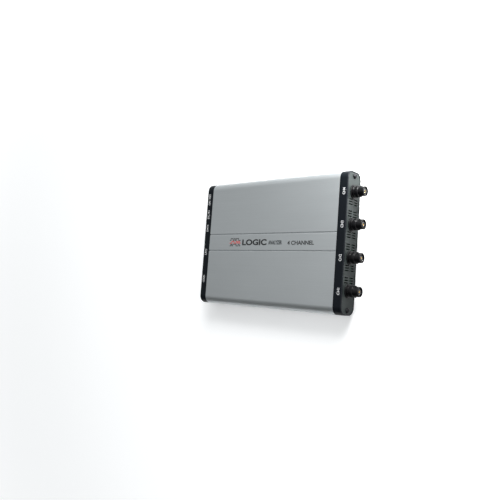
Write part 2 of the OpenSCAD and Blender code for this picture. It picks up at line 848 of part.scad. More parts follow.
case_extrusion();
front_bezel();
rear_bezel();
front_panel();
rear_panel();
front_screws();
rear_screws();
rubber_feet();
bnc_trim_rings();
for (n = [1:channels]) {
    bnc_housing(n);
    bnc_sleeve(n);
    bnc_insulator(n);
    bnc_contact(n);
}
switch_frame();
switch_rocker();
switch_terminals();
switch_leads();
dc_jack_body();
dc_jack_pin();
dc_jack_spring();
usb_shell();
usb_tongue();
usb_contacts();
lan_shell();
lan_insert();
lan_contacts();
lan_lights();
logic_shroud();
logic_pins();
main_board();
channel_shields();
input_relays();
input_amplifiers();
adc_chips();
fpga_chip();
thermal_pad();
heat_sink();
memory_chips();
clock_oscillator();
power_inductors();
capacitors();
regulators();
usb_chip();
lan_chip();
logic_buffers();
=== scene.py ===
"""Looks of a four-channel logic analyzer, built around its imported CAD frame.

X runs across the case towards channel 4, the inputs face -Y and Z is up. Lengths are
millimetres while a mesh is made, and a finished mesh is scaled to metres once.
"""

import logging
import math
from collections.abc import Iterable, Mapping, Sequence
from dataclasses import dataclass
from enum import Enum

import bmesh
import bpy
from mathutils import Euler, Matrix, Vector


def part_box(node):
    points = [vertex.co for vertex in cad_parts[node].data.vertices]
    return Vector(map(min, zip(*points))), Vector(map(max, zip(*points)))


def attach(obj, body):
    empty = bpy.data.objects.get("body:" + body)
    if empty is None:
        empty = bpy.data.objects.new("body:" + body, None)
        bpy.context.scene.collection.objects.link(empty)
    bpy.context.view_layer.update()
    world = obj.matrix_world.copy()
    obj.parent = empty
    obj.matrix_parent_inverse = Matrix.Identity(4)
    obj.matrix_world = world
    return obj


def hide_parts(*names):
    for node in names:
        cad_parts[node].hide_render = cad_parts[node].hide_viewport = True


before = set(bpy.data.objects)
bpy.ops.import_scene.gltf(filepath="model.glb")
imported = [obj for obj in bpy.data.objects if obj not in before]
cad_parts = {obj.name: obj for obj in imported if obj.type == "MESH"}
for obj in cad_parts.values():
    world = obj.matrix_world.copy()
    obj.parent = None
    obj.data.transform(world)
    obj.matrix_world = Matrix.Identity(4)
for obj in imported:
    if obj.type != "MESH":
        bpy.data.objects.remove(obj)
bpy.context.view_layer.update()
MM = 0.001
CHANNELS = range(1, 5)
WELD_DISTANCE = 0.001
INK_DEPTH = 0.03
LIE_DOWN = Matrix.Rotation(math.radians(90), 4, "X")  # takes Y to Z, and Z to -Y
LOG = logging.getLogger("logic_analyzer")

Colour = tuple[float, float, float]
Place = tuple[float, float, float]


class Body(Enum):
    """The two bodies that pieces ride on."""

    CASE = "case"
    ROCKER = "rocker"


class Slot(Enum):
    """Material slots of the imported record."""

    CASE = "anodised_aluminium"
    BEZEL = "bezel_plastic"
    PANEL = "gunmetal_panel"
    SCREW = "black_steel"
    FOOT = "foot_rubber"
    TRIM = "trim_black"
    CONNECTOR = "connector_black"
    NICKEL = "nickel"
    NOSE = "dark_insulator"
    INSULATOR = "white_insulator"
    GOLD = "gold"
    SWITCH = "switch_black"
    TIN = "tin"
    LEAD = "lead_red"
    PORT = "port_black"
    STEEL = "port_steel"
    LIGHT = "light_pipe"
    BOARD = "board_green"
    CAN = "tinplate"
    RELAY = "relay_cream"
    CHIP = "chip_black"
    PAD = "pad_blue"
    SINK = "sink_aluminium"
    OSCILLATOR = "oscillator_case"
    FERRITE = "ferrite"
    CAPACITOR = "capacitor_sleeve"


def shown(name: str, data: bpy.types.ID) -> bpy.types.Object:
    """Makes an object of some data and links it into the scene."""
    made = bpy.data.objects.new(name, data)
    bpy.context.scene.collection.objects.link(made)
    return made


def standing(right: Vector, up: Vector, origin: Vector) -> Matrix:
    """A frame with X along right, Y along up and Z square to both.

    Args:
        right: The unit vector of its X.
        up: The unit vector of its Y.
        origin: Where its origin is.

    Returns:
        The matrix that takes this frame to the row's frame.
    """
    matrix = Matrix((right, up, right.cross(up))).transposed().to_4x4()
    matrix.translation = origin
    return matrix


# ---------- node trees ----------


def find_socket(sockets: Iterable, key: int | str) -> bpy.types.NodeSocket:
    """Finds a socket by its place in the list, its identifier or its name.

    Args:
        sockets: The inputs or the outputs of a node.
        key: A place, an identifier or a name.

    Returns:
        The socket.
    """
    if isinstance(key, int):
        return sockets[key]
    return next((s for s in sockets if s.identifier == key), None) or sockets[key]


class Wire:
    """An output socket that takes part in arithmetic. Each operation adds one Math node."""

    def __init__(self, tree: "Tree", socket: bpy.types.NodeSocket) -> None:
        """Wraps one output socket of a tree."""
        self.tree = tree
        self.socket = socket

    def out(self, key: int | str) -> "Wire":
        """Another output of the same node."""
        return Wire(self.tree, find_socket(self.socket.node.outputs, key))

    def __add__(self, other: "Wire | float") -> "Wire":
        """self + other."""
        return self.tree.math("ADD", self, other)

    __radd__ = __add__

    def __sub__(self, other: "Wire | float") -> "Wire":
        """self - other."""
        return self.tree.math("SUBTRACT", self, other)

    def __rsub__(self, other: "Wire | float") -> "Wire":
        """other - self."""
        return self.tree.math("SUBTRACT", other, self)

    def __mul__(self, other: "Wire | float") -> "Wire":
        """self * other."""
        return self.tree.math("MULTIPLY", self, other)

    __rmul__ = __mul__

    def __truediv__(self, other: "Wire | float") -> "Wire":
        """self / other."""
        return self.tree.math("DIVIDE", self, other)


class Tree:
    """A node tree, and the one way in which nodes are added to it."""

    def __init__(self, node_tree: bpy.types.NodeTree) -> None:
        """Wraps a node tree of any kind."""
        self.node_tree = node_tree

    def node(self, kind: str, inputs: Mapping | None = None, **settings: object) -> Wire:
        """Adds a node.

        Args:
            kind: The node's type.
            inputs: A value, a Wire, or a list of Wires for each socket that is set.
            settings: Its own settings, set first.

        Returns:
            The node's first output that is in use, or its first input if it has none.
        """
        made = self.node_tree.nodes.new(kind)
        for name, value in settings.items():
            setattr(made, name, value)
        for key, value in (inputs or {}).items():
            socket = find_socket(made.inputs, key)
            for part in value if isinstance(value, list) else [value]:
                if isinstance(part, Wire):
                    self.node_tree.links.new(part.socket, socket)
                else:
                    socket.default_value = part
        outputs = [s for s in made.outputs if s.enabled]
        return Wire(self, outputs[0] if outputs else made.inputs[0])

    def math(self, operation: str, *values: Wire | float) -> Wire:
        """A Math node on up to three values."""
        return self.node("ShaderNodeMath", dict(enumerate(values)), operation=operation)

    def vector(self, operation: str, *values: "Wire | Place", scale: Wire | float | None = None) -> Wire:
        """A Vector Math node. scale is the factor of the SCALE operation."""
        inputs = dict(enumerate(values)) | ({} if scale is None else {"Scale": scale})
        return self.node("ShaderNodeVectorMath", inputs, operation=operation)


class MaterialTree(Tree):
    """A material's nodes, around one principled shader."""

    def __init__(self, name: str) -> None:
        """Starts a material whose patterns follow the piece's own place, in millimetres."""
        self.material = bpy.data.materials.new(name)
        self.material.use_nodes = True
        self.material.node_tree.nodes.clear()
        super().__init__(self.material.node_tree)
        coordinates = self.node("ShaderNodeTexCoord").out("Object")
        self.place = self.vector("SCALE", coordinates, scale=1 / MM)

    def noise(self, per_mm: float, detail: float = 2.0, stretch: Place = (1, 1, 1),
              shift: float = 0.0) -> Wire:
        """A soft noise from 0 to 1.

        Args:
            per_mm: How many of its cells lie along a millimetre.
            detail: How many finer layers it has.
            stretch: The factor on each axis; a small one draws the noise out along that axis.
            shift: Moves the pattern, so that two noises differ.

        Returns:
            The noise's value.
        """
        scaled = self.vector("MULTIPLY_ADD", self.place, tuple(per_mm * s for s in stretch), (shift,) * 3)
        return self.node("ShaderNodeTexNoise", {"Vector": scaled, "Scale": 1.0, "Detail": detail})

    def cells(self, per_mm: float) -> Wire:
        """The distance in a cellular pattern with per_mm cells along a millimetre."""
        scaled = self.vector("SCALE", self.place, scale=per_mm)
        return self.node("ShaderNodeTexVoronoi", {"Vector": scaled, "Scale": 1.0})

    def rise(self, value: Wire, low: float, high: float) -> Wire:
        """A smooth step from 0 at low to 1 at high."""
        limits = {"Value": value, "From Min": low, "From Max": high}
        return self.node("ShaderNodeMapRange", limits, interpolation_type="SMOOTHSTEP")

    def shade(self, colour: "Wire | Colour", factor: Wire) -> Wire:
        """A colour made lighter or darker by a factor."""
        return self.vector("SCALE", colour, scale=factor)

    def blend(self, mask: Wire, low: "Wire | Colour", high: "Wire | Colour") -> Wire:
        """One colour where mask is 0 and another where it is 1."""
        ends = {
            key: value if isinstance(value, Wire) else (*value, 1.0)
            for key, value in (("A_Color", low), ("B_Color", high))
        }
        mixed = self.node("ShaderNodeMix", {"Factor_Float": mask, **ends}, data_type="RGBA")
        return mixed.out("Result_Color")

    def edge(self) -> Wire:
        """How much a point lies on a bevelled edge, from the mesh's own attribute."""
        return self.node("ShaderNodeAttribute", attribute_name=EDGE_ATTRIBUTE).out("Fac")

    def surface(self, varied: Mapping, fixed: Mapping | None = None, relief: Wire | None = None,
                depth: float = 0.0) -> None:
        """Ends the tree in a principled shader.

        Args:
            varied: Wires or values for Base Color, Roughness and Metallic.
            fixed: Values that are the same all over.
            relief: The height that a bump follows, from 0 to 1.
            depth: How far that height reaches, in millimetres.
        """
        inputs = dict(fixed or {})
        for key, value in varied.items():
            plain = isinstance(value, tuple) and len(value) == 3
            inputs[key] = (*value, 1.0) if plain else value
        if relief is not None:
            bump = {"Height": relief, "Distance": depth * MM, "Strength": 1.0}
            inputs["Normal"] = self.node("ShaderNodeBump", bump)
        shader = self.node("ShaderNodeBsdfPrincipled", inputs)
        self.node("ShaderNodeOutputMaterial", {"Surface": shader})


class GrowthTree(Tree):
    """A geometry tree with named inputs, which ends in Realize Instances and Set Material."""

    def __init__(self, name: str, sockets: Mapping[str, str]) -> None:
        """Makes the tree with its named inputs.

        Args:
            name: The tree's name.
            sockets: Each input's name, and the kind of its socket.
        """
        group = bpy.data.node_groups.new(name, "GeometryNodeTree")
        super().__init__(group)
        for socket_name, kind in sockets.items():
            group.interface.new_socket(socket_name, in_out="INPUT", socket_type=f"NodeSocket{kind}")
        group.interface.new_socket("Material", in_out="INPUT", socket_type="NodeSocketMaterial")
        group.interface.new_socket("Geometry", in_out="OUTPUT", socket_type="NodeSocketGeometry")
        self.given = self.node("NodeGroupInput")

    def value(self, name: str) -> Wire:
        """A named input."""
        return self.given.out(name)

    def shape(self, name: str) -> Wire:
        """The geometry of the object in a named input."""
        return self.node("GeometryNodeObjectInfo", {"Object": self.value(name)}).out("Geometry")

    def together(self, *parts: Wire) -> Wire:
        """Several geometries as one."""
        return self.node("GeometryNodeJoinGeometry", {"Geometry": list(parts)})

    def real(self, geometry: Wire) -> Wire:
        """A geometry whose instances are made real."""
        return self.node("GeometryNodeRealizeInstances", {"Geometry": geometry})

    def xyz(self, x: Wire | float, y: Wire | float, z: Wire | float) -> Wire:
        """A vector of three values."""
        return self.node("ShaderNodeCombineXYZ", {0: x, 1: y, 2: z})

    def copies(self, points: Wire, part: Wire, turn: Wire | Place = (0, 0, 0)) -> Wire:
        """An instance of a part on each point, turned by the angles in turn."""
        inputs = {"Points": points, "Instance": part, "Rotation": turn}
        return self.node("GeometryNodeInstanceOnPoints", inputs)

    def grid(self, width: Wire, height: Wire, columns: int) -> Wire:
        """Points in two rows, with this many columns."""
        inputs = {"Size X": width, "Size Y": height, "Vertices X": columns, "Vertices Y": 2}
        return self.node("GeometryNodeMeshGrid", inputs)

    def outline(self, width: Wire, height: Wire, radius: Wire, steps: int) -> Wire:
        """A rounded rectangle, with this many steps to a corner."""
        square = self.node("GeometryNodeCurvePrimitiveQuadrilateral", {"Width": width, "Height": height})
        inputs = {"Curve": square, "Count": steps, "Radius": radius}
        return self.node("GeometryNodeFilletCurve", inputs, mode="POLY")

    def drawn_out(self, outlines: Wire, fill: str, depth: Wire) -> Wire:
        """Fills outlines in the XY plane and draws them out along Z.

        Args:
            outlines: The closed curves.
            fill: How they are filled: NGONS or TRIANGLES.
            depth: How far they are drawn.

        Returns:
            The closed solid.
        """
        section = self.node("GeometryNodeFillCurve", {"Curve": outlines}, mode=fill)
        offset = {"Offset": (0.0, 0.0, 1.0), "Offset Scale": depth, "Individual": False}
        raised = self.node("GeometryNodeExtrudeMesh", {"Mesh": section, **offset}, mode="FACES")
        both = self.together(raised, self.node("GeometryNodeFlipFaces", {"Mesh": section}))
        return self.node("GeometryNodeMergeByDistance", {"Geometry": both, "Distance": 0.002})

    def end(self, geometry: Wire) -> None:
        """Closes the tree on a geometry."""
        inputs = {"Geometry": self.real(geometry), "Material": self.value("Material")}
        self.node("NodeGroupOutput", {"Geometry": self.node("GeometryNodeSetMaterial", inputs)})

    def grow(self, values: Mapping[str, object]) -> "Solid":
        """Runs the tree once.

        Args:
            values: A value for each named input.

        Returns:
            The result as a plain mesh.
        """
        holder = shown("growing", bpy.data.meshes.new("growing"))
        modifier = holder.modifiers.new("growth", "NODES")
        modifier.node_group = self.node_tree
        for item in self.node_tree.interface.items_tree:
            if item.in_out == "INPUT" and item.name in values:
                modifier[item.identifier] = values[item.name]
        grown = Solid.of_object(holder)
        discard(holder)
        return grown


class ExtrusionTree(GrowthTree):
    """The case: a hollow rounded section with V-grooves, drawn out along its length."""

    def __init__(self) -> None:
        """Builds the tree."""
        sizes = ("Width", "Thickness", "Corner Radius", "Wall", "Groove Pitch", "Groove Width", "Length")
        super().__init__("drawn_case", {name: "Float" for name in sizes})
        width, thickness, radius, wall, pitch, groove, length = (self.value(name) for name in sizes)
        outer = self.outline(width, thickness, radius, 20)
        inner = self.outline(width - 2 * wall, thickness - 2 * wall, radius - wall, 20)
        bar = self.drawn_out(self.together(outer, inner), "NGONS", length)
        side = groove / math.sqrt(2)
        cutter = self.node("GeometryNodeMeshCube", {"Size": self.xyz(side, side, length * 1.1)})
        cutters = self.copies(self.grid(pitch * 2, thickness, 2), cutter, (0, 0, math.radians(45)))
        lifted = {"Geometry": cutters, "Translation": self.xyz(0, 0, length / 2)}
        real = self.real(self.node("GeometryNodeTransform", lifted))
        cut = self.node(
            "GeometryNodeMeshBoolean", {"Mesh 1": bar, "Mesh 2": real},
            operation="DIFFERENCE", solver="EXACT",
        )
        self.end(cut.out("Mesh"))


class PlateTree(GrowthTree):
    """An end plate: an outline with its cut-outs, and groups of vent slots."""

    def __init__(self) -> None:
        """Builds the tree."""
        super().__init__("vented_plate", {
            "Outline": "Object", "Groups": "Object", "Slot Length": "Float", "Slot Width": "Float",
            "Slot Pitch": "Float", "Row Pitch": "Float", "Thickness": "Float",
        })
        slot_width = self.value("Slot Width")
        slot = self.outline(slot_width, self.value("Slot Length"), slot_width * 0.49, 6)
        group = self.grid(self.value("Slot Pitch") * 2, self.value("Row Pitch"), 3)
        vents = self.real(self.copies(self.shape("Groups"), self.copies(group, slot)))
        section = self.together(self.shape("Outline"), vents)
        self.end(self.drawn_out(section, "TRIANGLES", self.value("Thickness")))


class RepeatTree(GrowthTree):
    """One part at several places, each turned about its own upright axis."""

    def __init__(self) -> None:
        """Builds the tree."""
        super().__init__("repeated_part", {
            "Part": "Object", "Places": "Object", "Turn": "Float", "Seed": "Int",
        })
        turn = self.node(
            "FunctionNodeRandomValue",
            {"Min_001": 0.0, "Max_001": self.value("Turn"), "Seed": self.value("Seed")},
            data_type="FLOAT",
        ).out("Value_001")
        self.end(self.copies(self.shape("Places"), self.shape("Part"), self.xyz(0, 0, turn)))


# ---------- shapes ----------

EDGE_ATTRIBUTE = "edge"


def discard(*objects: bpy.types.Object) -> None:
    """Removes helper objects and what they hold."""
    for helper in objects:
        data = helper.data
        bpy.data.objects.remove(helper)
        store = bpy.data.meshes if isinstance(data, bpy.types.Mesh) else bpy.data.curves
        if data.users == 0:
            store.remove(data)


@dataclass(frozen=True)
class Corner:
    """A corner of an outline or a profile, and the radius that rounds it."""

    x: float
    y: float
    radius: float = 0.0


def rounded(corners: Sequence[Corner], closed: bool = True, steps: int = 5) -> list[Vector]:
    """Turns corners into points, with an arc at each corner that has a radius.

    Args:
        corners: The corners in order.
        closed: Whether the last corner joins the first.
        steps: How many pieces an arc has.

    Returns:
        The points, two-dimensional.
    """
    points = []
    for i, corner in enumerate(corners):
        here = Vector((corner.x, corner.y))
        at_end = not closed and i in (0, len(corners) - 1)
        if corner.radius <= 0 or at_end:
            points.append(here)
            continue
        before, after = corners[i - 1], corners[(i + 1) % len(corners)]
        back = (Vector((before.x, before.y)) - here).normalized()
        ahead = (Vector((after.x, after.y)) - here).normalized()
        half = back.angle(ahead) / 2
        centre = here + (back + ahead).normalized() * corner.radius / math.sin(half)
        start = here + back * corner.radius / math.tan(half) - centre
        turn = math.pi - 2 * half
        sign = 1 if start.cross(here - centre) > 0 else -1
        for step in range(steps + 1):
            angle = sign * turn * step / steps
            spin = Matrix.Rotation(angle, 2)
            points.append(centre + spin @ start)
    return points


def rectangle(width: float, height: float, radius: float = 0.0, middle: tuple[float, float] = (0, 0),
              steps: int = 6) -> list[Vector]:
    """A rectangle with rounded corners, as points that run anticlockwise."""
    corners = [
        Corner(middle[0] + x * width / 2, middle[1] + y * height / 2, radius)
        for x, y in ((1, -1), (1, 1), (-1, 1), (-1, -1))
    ]
    return rounded(corners, steps=steps)


def circle(radius: float, middle: tuple[float, float] = (0, 0), sides: int = 48) -> list[Vector]:
    """A circle, as points that run anticlockwise."""
    angles = (2 * math.pi * i / sides for i in range(sides))
    return [Vector((middle[0] + radius * math.cos(a), middle[1] + radius * math.sin(a))) for a in angles]


class Solid:
    """A mesh in the making, in millimetres."""

    def __init__(self) -> None:
        """Starts an empty mesh."""
        self.bm = bmesh.new()

    @classmethod
    def of_mesh(cls, mesh: bpy.types.Mesh) -> "Solid":
        """Takes the shape of a mesh whose units are millimetres."""
        made = cls()
        made.bm.from_mesh(mesh)
        return made

    @classmethod
    def of_object(cls, source: bpy.types.Object) -> "Solid":
        """Takes the shape of an object with its modifiers, and merges its doubles."""
        graph = bpy.context.evaluated_depsgraph_get()
        mesh = bpy.data.meshes.new_from_object(source.evaluated_get(graph), depsgraph=graph)
        made = cls.of_mesh(mesh)
        bpy.data.meshes.remove(mesh)
        return made.welded()

    @classmethod
    def of_node(cls, node: str) -> "Solid":
        """Takes the shape of a CAD node, with its doubles merged and its flat faces whole."""
        made = cls.of_mesh(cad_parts[node].data)
        made.bm.transform(Matrix.Scale(1 / MM, 4))
        made.welded()
        bmesh.ops.dissolve_limit(
            made.bm, angle_limit=math.radians(0.5), verts=made.bm.verts, edges=made.bm.edges
        )
        return made

    @classmethod
    def turned(cls, profile: Sequence[Vector], sides: int = 64, closed: bool = False) -> "Solid":
        """Turns a profile about the Z axis.

        Args:
            profile: Points of radius and height. An open profile starts and ends on the axis.
            sides: How many sides a turn has.
            closed: Whether the profile is a loop clear of the axis, which makes a ring.

        Returns:
            The turned shape.
        """
        made = cls()
        rings = []
        for radius, height in profile:
            count = 1 if radius < 1e-6 else sides
            angles = (2 * math.pi * i / sides for i in range(count))
            rings.append([
                made.bm.verts.new((radius * math.cos(a), radius * math.sin(a), height)) for a in angles
            ])
        pairs = list(zip(rings, rings[1:])) + ([(rings[-1], rings[0])] if closed else [])
        for low, high in pairs:
            for i in range(sides):
                j = (i + 1) % sides
                face = [low[i % len(low)], low[j % len(low)], high[j % len(high)], high[i % len(high)]]
                made.bm.faces.new(list(dict.fromkeys(face)))
        return made.outward()

    @classmethod
    def rod(cls, radius: float, low: float, high: float, sides: int) -> "Solid":
        """A plain round rod along Z, from one height to another."""
        profile = [Vector((0, low)), Vector((radius, low)), Vector((radius, high)), Vector((0, high))]
        return cls.turned(profile, sides)

    @classmethod
    def prism(cls, outline: Sequence[Vector], low: float, high: float) -> "Solid":
        """Draws an outline out along Z, from one height to another."""
        made = cls()
        rings = [[made.bm.verts.new((p.x, p.y, z)) for p in outline] for z in (low, high)]
        made.bm.faces.new(reversed(rings[0]))
        made.bm.faces.new(rings[1])
        for i, j in zip(range(len(outline)), [*range(1, len(outline)), 0]):
            made.bm.faces.new([rings[0][i], rings[0][j], rings[1][j], rings[1][i]])
        return made.outward()

    @classmethod
    def box(cls, size: Place, middle: Place = (0, 0, 0)) -> "Solid":
        """A plain box, to be bevelled or to cut with."""
        outline = rectangle(size[0], size[1], 0.0, (middle[0], middle[1]))
        return cls.prism(outline, middle[2] - size[2] / 2, middle[2] + size[2] / 2)

    @classmethod
    def swept_frame(cls, profile: Sequence[Vector], width: float, height: float, radius: float,
                    steps: int = 20) -> "Solid":
        """Sweeps a closed profile around a rounded rectangle.

        Args:
            profile: Points whose x is the distance from the corner arcs' centres, and whose y is
                the height of the sweep.
            width: Outer width of the rectangle.
            height: Outer height of the rectangle.
            radius: Outer corner radius.
            steps: How many pieces a corner has.

        Returns:
            The frame.
        """
        made = cls()
        quarter = math.pi / 2
        spokes = []
        for turn, (x, y) in enumerate(((1, 1), (-1, 1), (-1, -1), (1, -1))):
            centre = Vector((x * (width / 2 - radius), y * (height / 2 - radius)))
            spokes += [(centre, quarter * (turn + step / steps)) for step in range(steps + 1)]
        rings = [
            [
                made.bm.verts.new((centre.x + p.x * math.cos(a), centre.y + p.x * math.sin(a), p.y))
                for p in profile
            ]
            for centre, a in spokes
        ]
        for ring, following in zip(rings, rings[1:] + rings[:1]):
            for i in range(len(profile)):
                j = (i + 1) % len(profile)
                made.bm.faces.new([ring[i], ring[j], following[j], following[i]])
        return made.outward()

    def outward(self) -> "Solid":
        """Turns the faces outwards."""
        bmesh.ops.recalc_face_normals(self.bm, faces=self.bm.faces)
        return self

    def welded(self) -> "Solid":
        """Merges points that coincide."""
        bmesh.ops.remove_doubles(self.bm, verts=self.bm.verts, dist=WELD_DISTANCE)
        return self

    def moved(self, matrix: Matrix) -> "Solid":
        """Moves the shape, which stays right side out."""
        self.bm.transform(matrix)
        if matrix.determinant() < 0:
            bmesh.ops.reverse_faces(self.bm, faces=self.bm.faces)
        return self

    def joined(self, *others: "Solid") -> "Solid":
        """Adds other shapes, each as a part of its own."""
        for other in others:
            mesh = bpy.data.meshes.new("joining")
            other.bm.to_mesh(mesh)
            self.bm.from_mesh(mesh)
            bpy.data.meshes.remove(mesh)
        return self

    def shaped(self, operation: str, *others: "Solid") -> "Solid":
        """A boolean with other shapes.

        Args:
            operation: DIFFERENCE or UNION.
            others: The other shapes, in turn.

        Returns:
            A new shape.
        """
        base = self.helper("base")
        tools = [other.helper("tool") for other in others]
        for tool in tools:
            modifier = base.modifiers.new("shape", "BOOLEAN")
            modifier.operation = operation
            modifier.solver = "EXACT"
            modifier.object = tool
        made = Solid.of_object(base)
        discard(base, *tools)
        return made

    def cut(self, *others: "Solid") -> "Solid":
        """Takes other shapes away."""
        return self.shaped("DIFFERENCE", *others)

    def fused(self, *others: "Solid") -> "Solid":
        """Grows together with other shapes."""
        return self.shaped("UNION", *others)

    def bevelled(self, width: float, segments: int = 2, angle: float = 30.0) -> "Solid":
        """Rounds the edges that are sharper than an angle, and marks them for edge wear and painted edge
        highlights.

        Args:
            width: How far the rounding reaches from the edge.
            segments: How many faces it has.
            angle: The least angle between two faces of a rounded edge, in degrees.

        Returns:
            This shape.
        """
        layers = self.bm.faces.layers.float
        mark = layers.get(EDGE_ATTRIBUTE) or layers.new(EDGE_ATTRIBUTE)
        sharp = [e for e in self.bm.edges if e.is_manifold and e.calc_face_angle(0) > math.radians(angle)]
        made = bmesh.ops.bevel(
            self.bm, geom=sharp, offset=width, offset_type="OFFSET", segments=segments, profile=0.5,
            affect="EDGES", clamp_overlap=True, material=-1,
        )
        for face in made["faces"]:
            face[mark] = 1.0
        return self

    def helper(self, name: str) -> bpy.types.Object:
        """A temporary object of this shape, in the scene."""
        mesh = bpy.data.meshes.new(name)
        self.bm.to_mesh(mesh)
        return shown(name, mesh)


def points_object(places: Sequence[Place]) -> bpy.types.Object:
    """An object with one loose point at each place."""
    mesh = bpy.data.meshes.new("places")
    mesh.from_pydata([tuple(p) for p in places], [], [])
    return shown("places", mesh)


def outline_object(outlines: Sequence[Sequence[Vector]]) -> bpy.types.Object:
    """A flat curve object with one closed line for each outline."""
    curve = bpy.data.curves.new("outlines", "CURVE")
    curve.dimensions = "2D"
    for outline in outlines:
        line = curve.splines.new("POLY")
        line.points.add(len(outline) - 1)
        line.use_cyclic_u = True
        for point, place in zip(line.points, outline):
            point.co = (place.x, place.y, 0.0, 1.0)
    return shown("outlines", curve)


def repeated(part: Solid, places: Sequence[Place], turn: float = 0.0, seed: int = 0) -> Solid:
    """One part at several places.

    Args:
        part: The part, around its own origin.
        places: Where its copies go.
        turn: The most that a copy may be turned about Z, in radians.
        seed: Picks the turns.

    Returns:
        All the copies as one shape.
    """
    part_object, places_object = part.helper("part"), points_object(places)
    values = {"Part": part_object, "Places": places_object, "Turn": turn, "Seed": seed}
    grown = WORKS.repeat.grow(values)
    discard(part_object, places_object)
    return grown


@dataclass(frozen=True)
class Box:
    """A box in millimetres, such as the one that a CAD node fills at rest."""

    low: Vector
    high: Vector

    @classmethod
    def of(cls, node: str) -> "Box":
        """The box of a CAD node."""
        low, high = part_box(node)
        return cls(low / MM, high / MM)

    @property
    def middle(self) -> Vector:
        """The middle of the box."""
        return (self.low + self.high) / 2

    @property
    def size(self) -> Vector:
        """The lengths of its sides."""
        return self.high - self.low


def channel_at(number: int) -> float:
    """Where a channel's connector is across the case."""
    return Box.of(f"bnc_housing_{number}").middle.x


class End(Enum):
    """The two ends of the case. The value is the way that the end looks along Y."""

    FRONT = -1
    REAR = 1

    def named(self, kind: str) -> str:
        """A name that starts with the end's own, as the CAD nodes' names do."""
        return f"{self.name.lower()}_{kind}"

    @property
    def face(self) -> float:
        """Where the bezel's outer face is along Y."""
        box = Box.of(self.named("bezel"))
        return box.low.y if self is End.FRONT else box.high.y

    def place(self, x: float = 0.0, z: float = 0.0) -> Matrix:
        """The frame of this end: X across, Y up and Z out of the bezel's face.

        Args:
            x: Where the frame's origin is along the row's own X.
            z: How far out of the bezel's face it is.

        Returns:
            The matrix that takes this frame to the row's frame.
        """
        origin = Vector((x, self.face + self.value * z, Box.of("case_extrusion").middle.z))
        return standing(Vector((-self.value, 0, 0)), Vector((0, 0, 1)), origin)


# ---------- finishes ----------


@dataclass(frozen=True)
class Finish:
    """A finish: its colour, its gloss, and the way its nodes are laid."""

    colour: Colour
    roughness: float

    def paint(self, tree: MaterialTree) -> None:
        """Lays the finish's nodes."""
        raise NotImplementedError

    def material(self, name: str) -> bpy.types.Material:
        """Builds the finish as a material."""
        tree = MaterialTree(name)
        self.paint(tree)
        return tree.material


@dataclass(frozen=True)
class DrawnAluminium(Finish):
    """Anodised aluminium with the fine lines of the die along Y."""

    lines: float = 0.10
    metallic: float = 0.85
    cut_edge_and_highlight: float = 0.35

    def paint(self, tree: MaterialTree) -> None:
        """Lays die lines, a matte grit from etching, slow clouds, and pale edges that are partly bare cut
        metal and partly a painted highlight.
        """
        fine = tree.noise(7.0, 2.0, (1, 0.006, 1))
        broad = tree.noise(1.1, 3.0, (1, 0.003, 1), 40.0)
        grit = tree.noise(11.0, 2.0)
        clouds = tree.noise(0.02, 3.0, (1, 0.5, 1), 7.0)
        lines = fine * 0.55 + broad * 0.45 - 0.5
        tone = 1.0 + lines * self.lines * 2 + (grit - 0.5) * 0.10 + (clouds - 0.5) * 0.08
        # Bevelled edges and groove lips are blended towards near white: partly bare cut metal, partly a
        # painted highlight along them.
        worn_and_highlit = tree.edge() * (tree.rise(tree.noise(0.8, 3.0, (1, 0.2, 1)), 0.4, 0.7) * 0.5 + 0.5)
        colour = tree.blend(worn_and_highlit * self.cut_edge_and_highlight, tree.shade(self.colour, tone), (0.90, 0.91, 0.92))
        roughness = self.roughness + lines * 0.16 + (grit - 0.5) * 0.08 + (clouds - 0.5) * 0.06
        tree.surface(
            {"Base Color": colour, "Roughness": roughness, "Metallic": self.metallic},
            relief=fine * 0.5 + grit * 0.5, depth=0.012,
        )


@dataclass(frozen=True)
class MouldedPlastic(Finish):
    """Moulded plastic with the fine grain of an eroded mould."""

    grain: float = 3.2
    depth: float = 0.03
    rub: Colour = (0.06, 0.06, 0.065)
    specular: float = 0.5

    def paint(self, tree: MaterialTree) -> None:
        """Lays two grains, faint handling marks, and edges that are partly rubbed and partly a painted
        highlight.
        """
        coarse = tree.noise(self.grain, 3.0)
        fine = tree.noise(self.grain * 3.1, 2.0, shift=13.0)
        handled = tree.rise(tree.noise(0.06, 4.0, shift=5.0), 0.42, 0.68)
        # Bevelled edges are blended towards the edge colour: partly rubbed wear, and on the dark plastics
        # partly a painted highlight.
        rubbed_and_highlit = tree.edge() * tree.rise(tree.noise(0.7, 3.0), 0.42, 0.66)
        tone = 0.86 + coarse * 0.28 + (handled - 0.5) * 0.10
        colour = tree.blend(rubbed_and_highlit * 0.30, tree.shade(self.colour, tone), self.rub)
        roughness = self.roughness + (fine - 0.5) * 0.12 - handled * 0.05 - rubbed_and_highlit * 0.10
        tree.surface(
            {"Base Color": colour, "Roughness": roughness}, {"Specular IOR Level": self.specular},
            relief=coarse * 0.7 + fine * 0.3, depth=self.depth,
        )


@dataclass(frozen=True)
class CoatedPlate(Finish):
    """Sheet metal under a thin grey coat, brushed along X before it was coated."""

    metallic: float = 0.55
    specular: float = 0.5
    bare: Colour = (0.10, 0.105, 0.11)

    def paint(self, tree: MaterialTree) -> None:
        """Lays brush lines, a speckle of the coat, and paler rubbed edges."""
        brushed = tree.noise(6.0, 3.0, (0.02, 1, 1))
        speckle = tree.cells(5.0)
        clouds = tree.noise(0.05, 3.0)
        bare = tree.edge() * tree.rise(tree.noise(1.4, 3.0), 0.45, 0.65)
        tone = 0.84 + brushed * 0.24 + speckle * 0.06 + (clouds - 0.5) * 0.10
        colour = tree.blend(bare * 0.25, tree.shade(self.colour, tone), self.bare)
        roughness = self.roughness + (brushed - 0.5) * 0.14 + (clouds - 0.5) * 0.08
        tree.surface(
            {"Base Color": colour, "Roughness": roughness, "Metallic": self.metallic},
            {"Specular IOR Level": self.specular},
            relief=brushed * 0.8 + speckle * 0.2, depth=0.008,
        )


